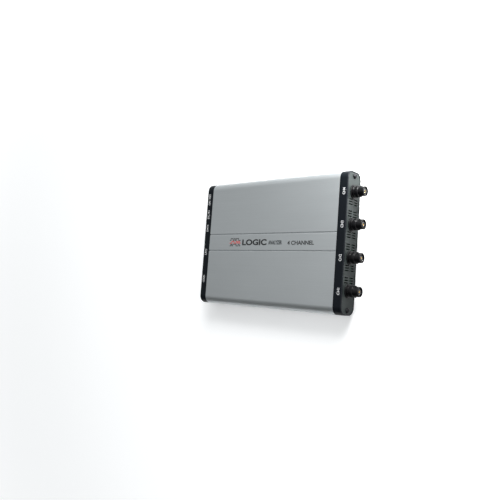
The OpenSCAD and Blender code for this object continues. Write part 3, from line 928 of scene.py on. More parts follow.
@dataclass(frozen=True)
class PlatedMetal(Finish):
    """Bare or plated metal with fine scratches and finger smudges."""

    scratches: float = 0.2
    tarnish: Colour = (0.30, 0.28, 0.25)

    def paint(self, tree: MaterialTree) -> None:
        """Lays crossing scratches, smudges in the gloss, and a dull bloom in places."""
        along = tree.noise(9.0, 2.0, (0.05, 1, 1))
        across = tree.noise(8.0, 2.0, (1, 0.06, 0.4), 21.0)
        smudge = tree.rise(tree.noise(0.35, 4.0), 0.38, 0.70)
        bloom = tree.rise(tree.noise(0.9, 5.0, shift=31.0), 0.55, 0.78)
        scratch = along * 0.5 + across * 0.5
        tone = 0.90 + scratch * 0.2
        colour = tree.blend(bloom * 0.25, tree.shade(self.colour, tone), self.tarnish)
        roughness = self.roughness + smudge * 0.14 + (scratch - 0.5) * self.scratches + bloom * 0.12
        tree.surface(
            {"Base Color": colour, "Roughness": roughness, "Metallic": 1.0},
            relief=scratch, depth=0.006,
        )


@dataclass(frozen=True)
class SoftRubber(Finish):
    """Matte rubber with a bloom of dust."""

    def paint(self, tree: MaterialTree) -> None:
        """Lays a soft grain and pale dust."""
        grain = tree.noise(4.0, 3.0)
        dust = tree.rise(tree.noise(0.6, 5.0, shift=3.0), 0.48, 0.74)
        colour = tree.blend(dust * 0.35, tree.shade(self.colour, 0.8 + grain * 0.4), (0.16, 0.155, 0.15))
        tree.surface(
            {"Base Color": colour, "Roughness": self.roughness + dust * 0.08 + (grain - 0.5) * 0.06},
            relief=grain, depth=0.04,
        )


@dataclass(frozen=True)
class PrintedInk(Finish):
    """Screen-printed ink, a little uneven, over the surface below."""

    def paint(self, tree: MaterialTree) -> None:
        """Lays an uneven density, pinholes and the mesh of the screen."""
        density = tree.noise(2.6, 4.0)
        pinholes = tree.rise(tree.cells(4.0), 0.02, 0.12)
        mesh = tree.noise(14.0, 1.0)
        tone = 0.88 + density * 0.18 + (pinholes - 1.0) * 0.25 + (mesh - 0.5) * 0.06
        roughness = self.roughness + (density - 0.5) * 0.2
        tree.surface(
            {"Base Color": tree.shade(self.colour, tone), "Roughness": roughness},
            relief=mesh * 0.6 + density * 0.4, depth=0.006,
        )


@dataclass(frozen=True)
class Laminate(Finish):
    """Glass-fibre board under solder mask, with copper tracks that show through."""

    track: Colour = (0.035, 0.20, 0.10)

    def paint(self, tree: MaterialTree) -> None:
        """Lays tracks as thin bands of a noise, a weave of the glass cloth, and vias."""
        wander = tree.noise(0.16, 1.0, (1, 0.25, 1))
        lanes = tree.math("FRACT", wander * 42.0)
        tracks = tree.rise(lanes, 0.30, 0.36) - tree.rise(lanes, 0.64, 0.70)
        vias = 1.0 - tree.rise(tree.cells(0.30), 0.09, 0.12)
        split = tree.node("ShaderNodeSeparateXYZ", {0: tree.place})
        weave = tree.math("SINE", split.out("X") * 14.0) * tree.math("SINE", split.out("Y") * 14.0)
        colour = tree.blend(tracks * 0.8, tree.shade(self.colour, 1.0 + weave * 0.10), self.track)
        colour = tree.blend(vias, colour, (0.62, 0.60, 0.52))
        tree.surface(
            {"Base Color": colour, "Roughness": self.roughness + weave * 0.04 - vias * 0.1},
            relief=tracks * 0.7 + weave * 0.1 + vias * 0.2, depth=0.03,
        )


@dataclass(frozen=True)
class ClearLens(Finish):
    """A tinted light pipe, moulded clear."""

    glow: Colour = (0.2, 0.5, 0.05)

    def paint(self, tree: MaterialTree) -> None:
        """Lays flow marks in the tint, and a faint inner glow."""
        flow = tree.noise(1.5, 3.0, (1, 1, 0.2))
        specks = tree.noise(9.0, 2.0)
        tree.surface(
            {
                "Base Color": tree.shade(self.colour, 0.8 + flow * 0.4),
                "Roughness": self.roughness + (specks - 0.5) * 0.1,
                "Emission Color": tree.shade(self.glow, 0.6 + flow * 0.8),
            },
            {"Emission Strength": 0.08, "IOR": 1.49},
            relief=flow, depth=0.01,
        )


FINISHES: dict[Slot, Finish] = {
    # The case's pale edges at full strength: partly bare cut metal, partly a painted highlight along the
    # grooves and ends.
    Slot.CASE: DrawnAluminium((0.51, 0.535, 0.545), 0.44, cut_edge_and_highlight=1.0),
    # The bezel's paler edges: partly rubbed wear, partly a painted highlight.
    Slot.BEZEL: MouldedPlastic((0.0030, 0.0046, 0.0068), 0.46, rub=(0.04, 0.04, 0.044), specular=0.15),
    Slot.PANEL: CoatedPlate((0.020, 0.0245, 0.024), 0.42, metallic=0.1, specular=0.10),
    Slot.SCREW: PlatedMetal((0.018, 0.018, 0.020), 0.42, tarnish=(0.05, 0.04, 0.035)),
    Slot.FOOT: SoftRubber((0.018, 0.018, 0.019), 0.82),
    Slot.TRIM: MouldedPlastic((0.0025, 0.0025, 0.003), 0.40, 5.0, 0.015, (0.02, 0.02, 0.02), 0.15),
    Slot.CONNECTOR: MouldedPlastic((0.0025, 0.0025, 0.003), 0.33, 5.0, 0.012, (0.02, 0.02, 0.02), 0.25),
    # Nickel darker than bare plating: painted shade inside the connectors' bores.
    Slot.NICKEL: PlatedMetal((0.30, 0.29, 0.28), 0.24, tarnish=(0.12, 0.11, 0.10)),
    Slot.NOSE: MouldedPlastic((0.010, 0.010, 0.011), 0.45, grain=3.0, depth=0.01),
    Slot.INSULATOR: MouldedPlastic((0.80, 0.80, 0.77), 0.38, grain=2.0, depth=0.01, rub=(0.6, 0.58, 0.5)),
    Slot.GOLD: PlatedMetal((0.80, 0.55, 0.20), 0.22, tarnish=(0.45, 0.26, 0.10)),
    Slot.SWITCH: MouldedPlastic((0.010, 0.010, 0.011), 0.42, grain=4.0, depth=0.02),
    Slot.TIN: PlatedMetal((0.62, 0.61, 0.58), 0.36),
    Slot.LEAD: MouldedPlastic((0.42, 0.02, 0.02), 0.40, grain=2.0, depth=0.01, rub=(0.6, 0.2, 0.2)),
    Slot.PORT: MouldedPlastic((0.009, 0.009, 0.010), 0.44, grain=4.0, depth=0.02),
    Slot.STEEL: PlatedMetal((0.60, 0.60, 0.59), 0.30),
    Slot.LIGHT: ClearLens((0.35, 0.55, 0.12), 0.25),
    Slot.BOARD: Laminate((0.012, 0.11, 0.05), 0.34),
    Slot.CAN: PlatedMetal((0.62, 0.62, 0.60), 0.34),
    Slot.RELAY: MouldedPlastic((0.72, 0.70, 0.62), 0.45, grain=2.5, rub=(0.5, 0.48, 0.4)),
    Slot.CHIP: MouldedPlastic((0.020, 0.020, 0.022), 0.55, grain=6.0, depth=0.012),
    Slot.PAD: SoftRubber((0.22, 0.32, 0.44), 0.75),
    Slot.SINK: DrawnAluminium((0.46, 0.47, 0.48), 0.42),
    Slot.OSCILLATOR: PlatedMetal((0.58, 0.55, 0.46), 0.28),
    Slot.FERRITE: MouldedPlastic((0.045, 0.045, 0.048), 0.60, grain=3.0, depth=0.05),
    Slot.CAPACITOR: MouldedPlastic((0.03, 0.045, 0.10), 0.35, grain=2.0, depth=0.01),
}


class Ink(Enum):
    """Inks of the printed marks."""

    WHITE = "white_ink"
    BLACK = "black_ink"
    GREY = "grey_ink"
    RED = "red_ink"


INKS: dict[Ink, PrintedInk] = {
    Ink.WHITE: PrintedInk((0.74, 0.75, 0.76), 0.55),
    Ink.BLACK: PrintedInk((0.012, 0.012, 0.013), 0.42),
    Ink.GREY: PrintedInk((0.035, 0.040, 0.043), 0.45),
    Ink.RED: PrintedInk((0.50, 0.035, 0.03), 0.45),
}


class Works:
    """What every sub-assembly shares: the geometry trees and the materials made so far."""

    def __init__(self) -> None:
        """Builds the geometry trees."""
        self.repeat = RepeatTree()
        self.plate = PlateTree()
        self.extrusion = ExtrusionTree()
        self._materials: dict[str, bpy.types.Material] = {}

    def material(self, finish: Slot | Ink) -> bpy.types.Material:
        """The material of a slot or an ink, built when it is first asked for."""
        if finish.value not in self._materials:
            made = (FINISHES | INKS)[finish].material(finish.value)
            self._materials[finish.value] = made
        return self._materials[finish.value]

    def deliver(self, name: str, solid: Solid, finish: Slot | Ink, replaces: Sequence[str] = (),
                body: Body = Body.CASE, smooth: float = 32.0) -> None:
        """Makes a finished piece of a shape.

        Args:
            name: The piece's name.
            solid: Its shape, in millimetres in the row's frame.
            finish: Its finish.
            replaces: The CAD nodes that it stands for.
            body: The body that it rides on.
            smooth: Edges flatter than this many degrees are shaded smooth.
        """
        mesh = bpy.data.meshes.new(name)
        solid.bm.transform(Matrix.Scale(MM, 4))
        solid.bm.to_mesh(mesh)
        mesh.materials.clear()
        mesh.materials.append(self.material(finish))
        mesh.polygons.foreach_set("material_index", [0] * len(mesh.polygons))
        mesh.shade_smooth()
        mesh.set_sharp_from_angle(angle=math.radians(smooth))
        piece = shown(name, mesh)
        piece.modifiers.new("flat_faces_first", "WEIGHTED_NORMAL").keep_sharp = True
        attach(piece, body.value)
        if replaces:
            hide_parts(*replaces)
        LOG.info("%s: %d faces, on %s", name, len(mesh.polygons), body.value)

    def dress(self, finish: Slot, *nodes: str) -> None:
        """Gives CAD nodes that stay a finish."""
        for node in nodes:
            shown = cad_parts[node]
            shown.data.materials.clear()
            shown.data.materials.append(self.material(finish))
            LOG.info("%s: CAD node in %s", node, finish.value)

    def refine(self, node: str, finish: Slot, bevel: float, name: str) -> None:
        """Replaces a CAD node by its own shape with softened edges.

        Args:
            node: The CAD node.
            finish: The piece's finish.
            bevel: How far the softening reaches from an edge.
            name: The piece's name.
        """
        self.deliver(name, Solid.of_node(node).bevelled(bevel), finish, [node])


WORKS = Works()


# ---------- sub-assemblies ----------


@dataclass
class CaseShell:
    """The drawn aluminium case and its four feet."""

    corner_radius: float = 8.0
    wall: float = 1.8
    groove_pitch: float = 9.0
    groove_width: float = 1.6
    edge: float = 0.42
    foot_dimple: float = 2.2
    dimple_depth: float = 0.5

    def build(self) -> None:
        """Builds the case and the feet."""
        box = Box.of("case_extrusion")
        values = {
            "Width": box.size.x, "Thickness": box.size.z, "Corner Radius": self.corner_radius,
            "Wall": self.wall, "Groove Pitch": self.groove_pitch, "Groove Width": self.groove_width,
            "Length": box.size.y,
        }
        shell = WORKS.extrusion.grow(values).bevelled(self.edge, 2, 25.0)
        rear = Vector((box.middle.x, box.high.y, box.middle.z))
        shell.moved(Matrix.Translation(rear) @ LIE_DOWN)
        WORKS.deliver("case_shell", shell, Slot.CASE, ["case_extrusion"], smooth=26.0)
        self._build_feet()

    def _build_feet(self) -> None:
        """Builds the feet: turned discs with a rounded tread and a shallow dimple."""
        box = Box.of("rubber_feet")
        radius = min(self._foot_radius(box), box.size.x / 2)
        height = box.size.z
        profile = rounded([
            Corner(0, height), Corner(radius, height, 0.15), Corner(radius, 0.45, 0.3),
            Corner(radius - 0.5, 0.0, 0.25), Corner(self.foot_dimple, 0.0, 0.2),
            Corner(self.foot_dimple - 0.3, self.dimple_depth, 0.2), Corner(0, self.dimple_depth),
        ], closed=False)
        foot = Solid.turned(profile, 48)
        places = [
            (x, y, box.low.z)
            for x in (box.low.x + radius, box.high.x - radius)
            for y in (box.low.y + radius, box.high.y - radius)
        ]
        WORKS.deliver("feet", repeated(foot, places), Slot.FOOT, ["rubber_feet"])

    @staticmethod
    def _foot_radius(box: Box) -> float:
        """The radius of one foot, from the CAD node's own points."""
        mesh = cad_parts["rubber_feet"].data
        points = [v.co / MM for v in mesh.vertices]
        across = [p.x for p in points if p.x < box.middle.x and p.y < box.middle.y]
        return (max(across) - min(across)) / 2


@dataclass
class EndFrame:
    """A moulded bezel at one end of the case."""

    end: End
    corner_radius: float = 8.0
    wall: float = 2.6
    rim: float = 1.5
    rounding: float = 0.9
    recess: float = 0.4
    panel: float = 1.5
    spigot_length: float = 4.0
    spigot_inner: float = 4.65
    spigot_wall: float = 1.4
    spigot_root: float = 1.5
    seam: float = 0.3
    screw_inset: float = 4.6
    screw_clearance: float = 1.7
    boss_radius: float = 3.2

    def build(self) -> None:
        """Builds the bezel with its rim, its panel seat, its spigot and its screw bosses."""
        box = Box.of(self.end.named("bezel"))
        length = box.size.y - self.spigot_length
        outer, seat = self.corner_radius, -(self.recess + self.panel)
        inner, spigot_top = outer - self.wall, self.spigot_root - length
        profile = rounded([
            Corner(outer, -length, self.seam), Corner(outer, 0, self.rounding),
            Corner(outer - self.rim, 0, 0.25), Corner(outer - self.rim, seat),
            Corner(inner, seat, 0.1), Corner(inner, spigot_top), Corner(self.spigot_inner, spigot_top),
            Corner(self.spigot_inner, -length - self.spigot_length, 0.2),
            Corner(self.spigot_inner + self.spigot_wall, -length - self.spigot_length, 0.3),
            Corner(self.spigot_inner + self.spigot_wall, -length),
        ])
        shape = Solid.swept_frame(profile, box.size.x, box.size.z, outer)
        for side in (-1, 1):
            shape.joined(self._boss(side * (box.size.x / 2 - self.screw_inset), -length, seat))
        name = self.end.named("bezel_frame")
        WORKS.deliver(name, shape.moved(self.end.place()), Slot.BEZEL, [self.end.named("bezel")])

    def _boss(self, x: float, low: float, high: float) -> Solid:
        """A screw boss behind the panel's seat."""
        loop = [
            Corner(self.screw_clearance, low), Corner(self.boss_radius, low),
            Corner(self.boss_radius, high, 0.2), Corner(self.screw_clearance, high, 0.2),
        ]
        ring = Solid.turned(rounded(loop), 40, closed=True)
        return ring.moved(Matrix.Translation((x, 0, 0)))


@dataclass
class EndPlate:
    """The metal panel in a bezel, with its vents, its cut-outs and its two screws."""

    end: End
    cut_outs: list[list[Vector]]
    vent_groups: list[float]
    corner_radius: float = 6.45
    slot_length: float = 6.6
    slot_width: float = 1.1
    slot_pitch: float = 2.4
    row_gap: float = 2.6
    screw_inset: float = 4.6
    screw_hole: float = 1.7
    edge: float = 0.12
    screw_head: float = 2.5
    screw_head_height: float = 1.8
    screw_shank: float = 1.25
    screw_length: float = 16.0
    point_inset: float = 0.5
    point_length: float = 0.6
    head_side: float = 0.75
    head_dome: float = 0.9
    drive_turn: float = 80.0
    recess_length: float = 2.9
    recess_width: float = 0.62
    recess_depth: float = 1.0

    def build(self) -> None:
        """Builds the plate and its screws."""
        box = Box.of(self.end.named("panel"))
        holes = [circle(self.screw_hole, (x, 0), 32) for x in self._screw_places()]
        outline = rectangle(box.size.x, box.size.z, self.corner_radius, steps=14)
        outlines = outline_object([outline, *self.cut_outs, *holes])
        groups = points_object([(x, 0, 0) for x in self.vent_groups])
        plate = WORKS.plate.grow({
            "Outline": outlines, "Groups": groups, "Slot Length": self.slot_length,
            "Slot Width": self.slot_width, "Slot Pitch": self.slot_pitch,
            "Row Pitch": self.slot_length + self.row_gap, "Thickness": box.size.y,
        })
        discard(outlines, groups)
        surface = self.end.value * (box.middle.y - self.end.face) + box.size.y / 2
        place = self.end.place(z=surface - box.size.y)
        plate = plate.bevelled(self.edge, 2, 40.0).moved(place)
        WORKS.deliver(self.end.named("plate"), plate, Slot.PANEL, [self.end.named("panel")])
        self._build_screws(surface)

    def _screw_places(self) -> list[float]:
        """Where the screws are across the plate."""
        half = Box.of(self.end.named("bezel")).size.x / 2 - self.screw_inset
        return [-half, half]

    def _build_screws(self, surface: float) -> None:
        """Builds the pan-head screws, each turned as it was driven."""
        tip, head, top = -self.screw_length, self.screw_head, self.screw_head_height
        profile = rounded([
            Corner(0, tip), Corner(self.screw_shank - self.point_inset, tip),
            Corner(self.screw_shank, tip + self.point_length), Corner(self.screw_shank, 0.0),
            Corner(head, 0.0, 0.12), Corner(head, self.head_side, 0.45),
            Corner(head - self.head_dome, top, self.head_dome), Corner(0, top),
        ], closed=False)
        screw = Solid.turned(profile, 48)
        length, width, height = self.recess_length, self.recess_width, 2 * self.recess_depth
        bars = [Solid.box(size, (0, 0, top)) for size in ((length, width, height), (width, length, height))]
        screw = screw.cut(*bars).bevelled(0.05, 1, 50.0)
        places = [(x, 0, 0) for x in self._screw_places()]
        both = repeated(screw, places, math.radians(self.drive_turn), 3 + self.end.value)
        both.moved(self.end.place(z=surface))
        WORKS.deliver(self.end.named("panel_screws"), both, Slot.SCREW, [self.end.named("screws")])


@dataclass
class ChannelConnector:
    """One channel's bayonet connector, on its own axis out of the front bezel."""

    number: int
    reach: float = 12.2
    foot_radius: float = 5.6
    barrel_radius: float = 4.83
    bore_radius: float = 4.05
    relief: float = 0.18
    liner: float = 0.25
    liner_back: float = 2.0
    bore_depth: float = 8.9
    foot_end: float = 6.2
    lug_back: float = 4.9
    lug_radius: float = 1.0
    lug_span: float = 11.0
    seat: float = -1.9
    block: Place = (14.5, 12.8, 13.0)
    rear_radius: float = 3.2
    rear_step: float = 1.0
    lug_root: float = 0.4
    grip_low: float = 1.9
    grip_high: float = 2.9
    grip_depth: float = 0.35
    grip_slope: float = 0.2
    nose_radius: float = 2.375
    nose_back: float = 0.5
    nose_disc: float = 1.2
    contact_radius: float = 1.05
    contact_bore: float = 0.475
    contact_sink: float = 0.4
    socket_depth: float = 5.0
    slit: Place = (3.0, 0.22, 9.0)
    tail_radius: float = 0.45
    tail_point: float = 0.2

    def _deliver(self, name: str, shape: Solid, finish: Slot, node: str) -> None:
        """Delivers one of the connector's pieces, from its own frame with Z out of the bezel's face.

        Args:
            name: The piece's name, without its prefix and its number.
            shape: Its shape in the connector's frame.
            finish: Its finish.
            node: The CAD node that it stands for, named in the same way.
        """
        shape.moved(End.FRONT.place(channel_at(self.number)))
        WORKS.deliver(f"bnc_{name}_{self.number}", shape, finish, [f"bnc_{node}_{self.number}"])

    def build(self) -> None:
        """Builds the connector's four pieces."""
        self._build_body()
        self._build_liner()
        self._build_insulator()
        self._build_contact()

    def _build_body(self) -> None:
        """Builds the moulded body: a stepped barrel with two lugs, and the block behind the panel."""
        floor = self.reach - self.bore_depth
        mouth = self.reach - self.liner_back
        liner_radius = self.bore_radius + self.liner
        neck = self.barrel_radius - self.relief
        shoulder = self.reach - self.lug_back + self.lug_radius
        back = self.seat - self.block[2]
        rear, foot, grip = self.rear_radius, self.foot_radius, self.foot_radius - self.grip_depth
        profile = rounded([
            Corner(rear, back + self.rear_step), Corner(foot, back + self.rear_step),
            Corner(foot, self.grip_low, 0.1), Corner(grip, self.grip_low + self.grip_slope, 0.1),
            Corner(grip, self.grip_high - self.grip_slope, 0.1), Corner(foot, self.grip_high, 0.1),
            Corner(foot, self.foot_end, 0.35), Corner(neck, self.foot_end, 0.2),
            Corner(neck, shoulder), Corner(self.barrel_radius, shoulder + 0.1),
            Corner(self.barrel_radius, self.reach, 0.4), Corner(self.bore_radius, self.reach, 0.25),
            Corner(self.bore_radius, mouth), Corner(liner_radius, mouth),
            Corner(liner_radius, floor), Corner(rear, floor),
        ])
        barrel = Solid.turned(profile, 72, closed=True)
        lug_end, lug_root = -self.lug_span / 2, -self.bore_radius - self.lug_root
        lug_profile = rounded([
            Corner(0, lug_end), Corner(self.lug_radius, lug_end, 0.35),
            Corner(self.lug_radius, lug_root), Corner(0, lug_root),
        ], closed=False)
        axis = Matrix.Translation((0, 0, self.reach - self.lug_back))
        lugs = [
            Solid.turned(lug_profile, 32).moved(axis @ Matrix.Rotation(math.radians(angle), 4, "Y"))
            for angle in (90, -90)
        ]
        hollow = Solid.rod(rear, back - 1, self.seat + 1, 72)
        block = Solid.box(self.block, (0, 0, self.seat - self.block[2] / 2)).bevelled(0.4).cut(hollow)
        self._deliver("body", barrel.fused(*lugs).joined(block), Slot.CONNECTOR, "housing")

    def _build_liner(self) -> None:
        """Builds the nickel liner of the bore, with a flared lip."""
        low, high = self.reach - self.bore_depth, self.reach - self.liner_back
        profile = rounded([
            Corner(self.bore_radius, low), Corner(self.bore_radius + self.liner, low),
            Corner(self.bore_radius + self.liner, high, 0.05), Corner(self.bore_radius, high, 0.2),
        ])
        # Its nickel is darkened: painted shade inside the bore.
        self._deliver("liner", Solid.turned(profile, 72, closed=True), Slot.NICKEL, "sleeve")

    def _build_insulator(self) -> None:
        """Builds the dark insulator: a disc on the bore's floor and a stepped nose."""
        low, floor = self.seat - self.block[2], self.reach - self.bore_depth
        top = self.reach - self.nose_back
        step = floor + self.nose_disc
        profile = rounded([
            Corner(self.contact_radius, low), Corner(self.rear_radius, low), Corner(self.rear_radius, floor),
            Corner(self.bore_radius, floor), Corner(self.bore_radius, step, 0.15),
            Corner(self.nose_radius, step, 0.3), Corner(self.nose_radius, top, 0.3),
            Corner(self.contact_radius + 0.25, top, 0.1), Corner(self.contact_radius, top - 0.5),
        ])
        self._deliver("dielectric", Solid.turned(profile, 56, closed=True), Slot.NOSE, "insulator")

    def _build_contact(self) -> None:
        """Builds the gold centre contact: a slit socket in front, and a tail down to the board."""
        box = Box.of(f"bnc_contact_{self.number}")
        back = End.FRONT.face - box.high.y
        top = self.reach - self.nose_back - self.contact_sink
        floor = top - self.socket_depth
        profile = rounded([
            Corner(0, back), Corner(self.contact_radius, back, 0.1), Corner(self.contact_radius, top, 0.2),
            Corner(self.contact_bore, top, 0.15), Corner(self.contact_bore, floor), Corner(0, floor - 0.3),
        ], closed=False)
        body = Solid.turned(profile, 40)
        slit = Solid.box(self.slit, (0, 0, top))
        drop = Box.of("case_extrusion").middle.z - box.low.z
        radius, point = self.tail_radius, self.tail_point
        tail = Solid.turned([
            Vector((0, 0)), Vector((radius, 0)), Vector((radius, drop - point)),
            Vector((radius - point, drop)), Vector((0, drop)),
        ], 24)
        tail.moved(Matrix.Translation((0, 0, back + radius)) @ LIE_DOWN)
        self._deliver("socket", body.cut(slit).fused(tail), Slot.GOLD, "contact")


@dataclass
class TrimRings:
    """The flat dark rings at the connectors' feet."""

    outer: float = 6.8
    inner: float = 5.6
    thickness: float = 0.8
    sink: float = 0.4

    def build(self) -> None:
        """Builds the four rings."""
        profile = rounded([
            Corner(self.inner, 0), Corner(self.outer, 0, 0.05), Corner(self.outer, self.thickness, 0.3),
            Corner(self.inner, self.thickness, 0.1),
        ])
        ring = Solid.turned(profile, 72, closed=True)
        places = [(channel_at(n), 0, 0) for n in CHANNELS]
        rings = repeated(ring, places).moved(End.FRONT.place(z=-self.sink))
        WORKS.deliver("trim_rings", rings, Slot.TRIM, ["bnc_trim_rings"])


@dataclass
class RockerSwitch:
    """The power switch: a frame in the rear panel and the rocker in it."""

    tilt: float = 10.0
    sink: float = 0.4
    flange: float = 1.6
    pivot_depth: float = 2.2
    valley: float = 3.0
    half_length: float = 5.6
    width: float = 8.1
    side: float = 1.0
    base: float = 3.0
    base_inset: float = 2.4
    pivot_radius: float = 1.0
    pivot_length: float = 9.6
    softness: float = 0.18
    mark_share: float = 0.56
    mark_lift: float = 0.02

    def build(self) -> None:
        """Builds the frame, the rocker and its two marks."""
        WORKS.refine("switch_frame", Slot.SWITCH, 0.22, "switch_bezel")
        WORKS.dress(Slot.TIN, "switch_terminals")
        WORKS.dress(Slot.LEAD, "switch_leads")
        self._build_rocker()

    @property
    def place(self) -> Matrix:
        """The rocker's frame at rest: X along it, Y up the case, Z out of its face."""
        frame_box = Box.of("switch_frame")
        pivot = self.flange - self.pivot_depth - self.sink
        upright = End.REAR.place(frame_box.middle.x, pivot)
        return upright @ Matrix.Rotation(math.radians(-self.tilt), 4, "Y")

    def _build_rocker(self) -> None:
        """Builds the rocker with a hollowed top and two raised grips, and prints its marks."""
        tip = self.valley + self.half_length * math.tan(math.radians(self.tilt))
        half, base = self.half_length, self.half_length - self.base_inset
        steps = 14
        top = [
            Vector((half * (1 - 2 * i / steps), self._top_height(1 - 2 * i / steps, tip)))
            for i in range(steps + 1)
        ]
        outline = [
            *top, Vector((-half, -self.side)), Vector((-base, -self.base)), Vector((base, -self.base)),
            Vector((half, -self.side)),
        ]
        body = Solid.prism(outline, -self.width / 2, self.width / 2).moved(LIE_DOWN).bevelled(0.3, 3, 24.0)
        pin = Solid.rod(self.pivot_radius, -self.pivot_length / 2, self.pivot_length / 2, 32).moved(LIE_DOWN)
        shape = body.fused(pin).moved(self.place)
        WORKS.deliver("rocker_cap", shape, Slot.SWITCH, ["switch_rocker"], Body.ROCKER)
        slope = math.atan2(tip - self.valley, half)
        lift = self._top_height(self.mark_share, tip) + self.mark_lift
        marks = (("on", -1, pictogram_bar(2.4, 0.5)), ("off", 1, pictogram_ring(1.25, 0.45)))
        for name, side, mark in marks:
            spot = Matrix.Translation((side * half * self.mark_share, 0, lift))
            mark.moved(self.place @ spot @ Matrix.Rotation(-side * slope, 4, "Y"))
            WORKS.deliver(f"rocker_mark_{name}", mark, Ink.WHITE, (), Body.ROCKER)

    def _top_height(self, share: float, tip: float) -> float:
        """Height of the rocker's top, a soft valley between its tips.

        Args:
            share: The place along the rocker, as a share of its half length.
            tip: The height of its tips.

        Returns:
            The height above the pivot.
        """
        soft = self.softness
        rise = (math.sqrt(share * share + soft * soft) - soft) / (math.sqrt(1 + soft * soft) - soft)
        return self.valley + (tip - self.valley) * rise


def pictogram_bar(length: float, width: float) -> Solid:
    """A short upright bar, thin as ink."""
    return Solid.prism(rectangle(width, length, width * 0.2), 0.0, INK_DEPTH)


def pictogram_ring(radius: float, width: float) -> Solid:
    """A ring, thin as ink."""
    corners = ((radius - width, 0), (radius, 0), (radius, INK_DEPTH), (radius - width, INK_DEPTH))
    return Solid.turned([Vector(corner) for corner in corners], 40, closed=True)


class RearPorts:
    """The supply inlet, the computer and network ports and the logic input port."""

    PIECES = (
        ("dc_jack_body", Slot.PORT, 0.2, "supply_inlet"),
        ("dc_jack_pin", Slot.TIN, 0.1, "supply_pin"),
        ("dc_jack_spring", Slot.GOLD, 0.05, "supply_spring"),
        ("usb_shell", Slot.STEEL, 0.15, "data_port_shell"),
        ("usb_tongue", Slot.INSULATOR, 0.2, "data_port_tongue"),
        ("usb_contacts", Slot.GOLD, 0.04, "data_port_contacts"),
        ("lan_shell", Slot.STEEL, 0.12, "network_port_shell"),
        ("lan_insert", Slot.PORT, 0.12, "network_port_insert"),
        ("lan_contacts", Slot.GOLD, 0.06, "network_port_contacts"),
        ("lan_lights", Slot.LIGHT, 0.15, "network_port_lights"),
        ("logic_shroud", Slot.PORT, 0.12, "logic_port_shroud"),
        ("logic_pins", Slot.GOLD, 0.12, "logic_port_pins"),
    )

    def build(self) -> None:
        """Builds each port's pieces: the CAD node, its finish, its softening and its name."""
        for node, finish, bevel, name in self.PIECES:
            WORKS.refine(node, finish, bevel, name)


class MainBoard:
    """The board and what stands on it, all inside the case."""

    NODES = {
        Slot.BOARD: ("main_board",),
        Slot.CAN: ("channel_shields",),
        Slot.RELAY: ("input_relays",),
        Slot.CHIP: (
            "input_amplifiers", "adc_chips", "fpga_chip", "memory_chips", "regulators", "usb_chip",
            "lan_chip", "logic_buffers",
        ),
        Slot.PAD: ("thermal_pad",),
        Slot.SINK: ("heat_sink",),
        Slot.OSCILLATOR: ("clock_oscillator",),
        Slot.FERRITE: ("power_inductors",),
        Slot.CAPACITOR: ("capacitors",),
    }

    def build(self) -> None:
        """Dresses the board's CAD nodes."""
        for slot, nodes in self.NODES.items():
            WORKS.dress(slot, *nodes)


# ---------- printed marks ----------


@dataclass(frozen=True)
class Lettering:
    """Words printed on the face, as thin ink."""

    words: str
    height: float
    middle: Place
    reading: Place
    upright: Place
    length: float | None = None
    weight: float = 0.0

    def solid(self) -> Solid:
        """Lays the words as a closed thin mesh in the row's frame."""
        curve = bpy.data.curves.new("words", "FONT")
        curve.body = self.words
        curve.resolution_u = 6
        curve.offset = self.weight
        curve.extrude = 0.5
        helper = shown("words", curve)
        shape = Solid.of_object(helper)
        discard(helper)
        low = Vector([min(v.co[i] for v in shape.bm.verts) for i in range(3)])
        high = Vector([max(v.co[i] for v in shape.bm.verts) for i in range(3)])
        size, centre = high - low, (low + high) / 2
        tall = self.height / size.y
        wide = tall if self.length is None else self.length / size.x
        fit = Matrix.Diagonal((wide, tall, INK_DEPTH / size.z, 1)) @ Matrix.Translation(-centre)
        place = standing(Vector(self.reading), Vector(self.upright), Vector(self.middle))
        return shape.moved(place @ fit)


def ribbon(path: Sequence[Vector], width: float, thickness: float) -> Solid:
    """A stroke of even width along a path with mitred corners.

    Args:
        path: The path's points, two-dimensional.
        width: The stroke's width.
        thickness: Its thickness along Z.

    Returns:
        The stroke.
    """
    sides: list[tuple[Vector, Vector]] = []
    for i, point in enumerate(path):
        ways = [
            (b - a).normalized()
            for a, b in ((path[max(i - 1, 0)], point), (point, path[min(i + 1, len(path) - 1)]))
            if (b - a).length > 0
        ]
        normals = [Vector((-way.y, way.x)) for way in ways]
        mitre = sum(normals, Vector((0, 0))).normalized()
        reach = width / 2 / mitre.dot(normals[0])
        sides.append((point + mitre * reach, point - mitre * reach))
    outline = [left for left, _ in sides] + [right for _, right in reversed(sides)]
    return Solid.prism(outline, -thickness / 2, thickness / 2)


def pulse_train(levels: str, step: float, height: float) -> list[Vector]:
    """The path of a square wave.

    Args:
        levels: One 0 or 1 for each step.
        step: The length of a step.
        height: The height from low to high.

    Returns:
        The path's points, from left to right.
    """
    path = [Vector((0, height * int(levels[0])))]
    for i, (level, following) in enumerate(zip(levels, levels[1:] + levels[-1]), 1):
        path.append(Vector((i * step, height * int(level))))
        if following != level:
            path.append(Vector((i * step, height * int(following))))
    return path


@dataclass(frozen=True)
class Legend:
    """One legend of the face: its piece's name, its words, its place, its sizes and its ink."""

    name: str
    words: str
    x: float
    y: float
    height: float
    length: float
    weight: float
    ink: Ink


